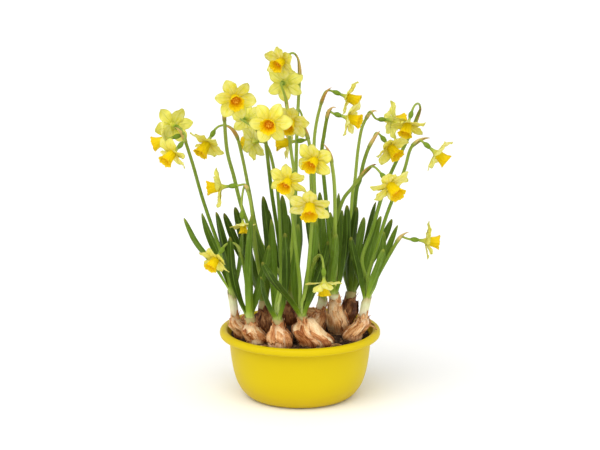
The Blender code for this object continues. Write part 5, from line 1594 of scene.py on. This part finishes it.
# ------------------------------------------------------------------ the scene
def camera_and_light():
    cam = bpy.data.cameras.new("camera")
    co = bpy.data.objects.new("camera", cam)
    bpy.context.scene.collection.objects.link(co)
    co.location = Vector(EYE)
    co.rotation_euler = Vector(LOOK_AT - EYE).to_track_quat("-Z", "Y").to_euler()
    cam.lens, cam.sensor_width, cam.clip_end = 119.6, 36.0, 50.0
    bpy.context.scene.camera = co

    def sun(name, az, el, power, spread, colour=(1, 1, 1)):
        li = bpy.data.lights.new(name, "SUN")
        li.energy, li.angle, li.color = power, math.radians(spread), colour
        o = bpy.data.objects.new(name, li)
        bpy.context.scene.collection.objects.link(o)
        d = facing(az, el)
        o.rotation_euler = Vector(-d).to_track_quat("-Z", "Y").to_euler()

    sun("key", -30, 52, 1.75, 60, (1.0, 0.99, 0.97))
    sun("fill", 50, 34, 0.7, 80, (0.98, 0.99, 1.0))
    w = bpy.data.worlds.new("studio")
    bpy.context.scene.world = w
    w.use_nodes = True
    t = w.node_tree
    bg = t.nodes["Background"]
    tc, sep = t.nodes.new("ShaderNodeTexCoord"), t.nodes.new("ShaderNodeSeparateXYZ")
    mr = t.nodes.new("ShaderNodeMapRange")
    mr.interpolation_type = "SMOOTHSTEP"
    t.links.new(tc.outputs["Generated"], sep.inputs[0])
    t.links.new(sep.outputs["Z"], mr.inputs["Value"])
    for k, v in (("From Min", 0.05), ("From Max", 0.8), ("To Min", 0.88), ("To Max", 0.55)):
        mr.inputs[k].default_value = v
    bg.inputs["Color"].default_value = (1.0, 1.0, 1.0, 1.0)
    t.links.new(mr.outputs[0], bg.inputs["Strength"])
    # pale floor
    me = bpy.data.meshes.new("floor")
    me.from_pydata([(-12, -12, 0), (12, -12, 0), (12, 12, 0), (-12, 12, 0)], [], [(0, 1, 2, 3)])
    fl = bpy.data.objects.new("floor", me)
    bpy.context.scene.collection.objects.link(fl)
    m = Mat("pale_floor", 0.9, Specular_IOR_Level=0.0)
    n = m.noise(m.place(), 3.0, 2.0)
    m.colour(m.mix(n, (0.975, 0.975, 0.975, 1), (0.985, 0.985, 0.985, 1)))
    me.materials.append(m.m)
    bpy.context.scene.view_settings.view_transform = "Standard"


def main():
    camera_and_light()
    strands, blooms = arrange()
    build_bowl(mat_bowl())
    build_soil(mat_soil())
    skins = [mat_bulb("bulb_scale_rosy", srgb(120, 56, 22), srgb(196, 126, 80), srgb(234, 182, 132),
                      srgb(250, 218, 174), -0.04),
             mat_bulb("bulb_scale_cream", srgb(128, 66, 24), srgb(204, 138, 82), srgb(238, 192, 136),
                      srgb(250, 222, 176), -0.04),
             mat_bulb("bulb_skin_rust", srgb(78, 32, 4), srgb(158, 88, 38), srgb(214, 150, 92),
                      srgb(244, 202, 150), 0.01),
             mat_bulb("bulb_skin_tan", srgb(88, 40, 8), srgb(172, 106, 52), srgb(224, 166, 106),
                      srgb(246, 212, 162), 0.0),
             # painted shade: darker skin colours for the back bulbs
             mat_bulb("bulb_skin_shaded", srgb(54, 22, 4), srgb(98, 52, 20), srgb(146, 94, 50),
                      srgb(198, 148, 98), 0.05)]
    for b in BULBS:
        build_bulb(b, skins)
    dry_strands(skins[3])
    mats = {"leaf": mat_leaf(), "leaf_in_shade": mat_leaf("strap_leaf_shaded", 0.5), "sheath": mat_sheath(), "stalk": mat_stalk(), "spathe": mat_spathe(),
            "petal": mat_petal(), "tube": mat_tube(), "cup": mat_cup(), "stamen": mat_stamen()}
    for b in BULBS:
        build_leaves(b, strands, mats)
        build_stalks(b, strands, blooms, mats)
    for f in blooms:
        build_flower(f, mats)


main()
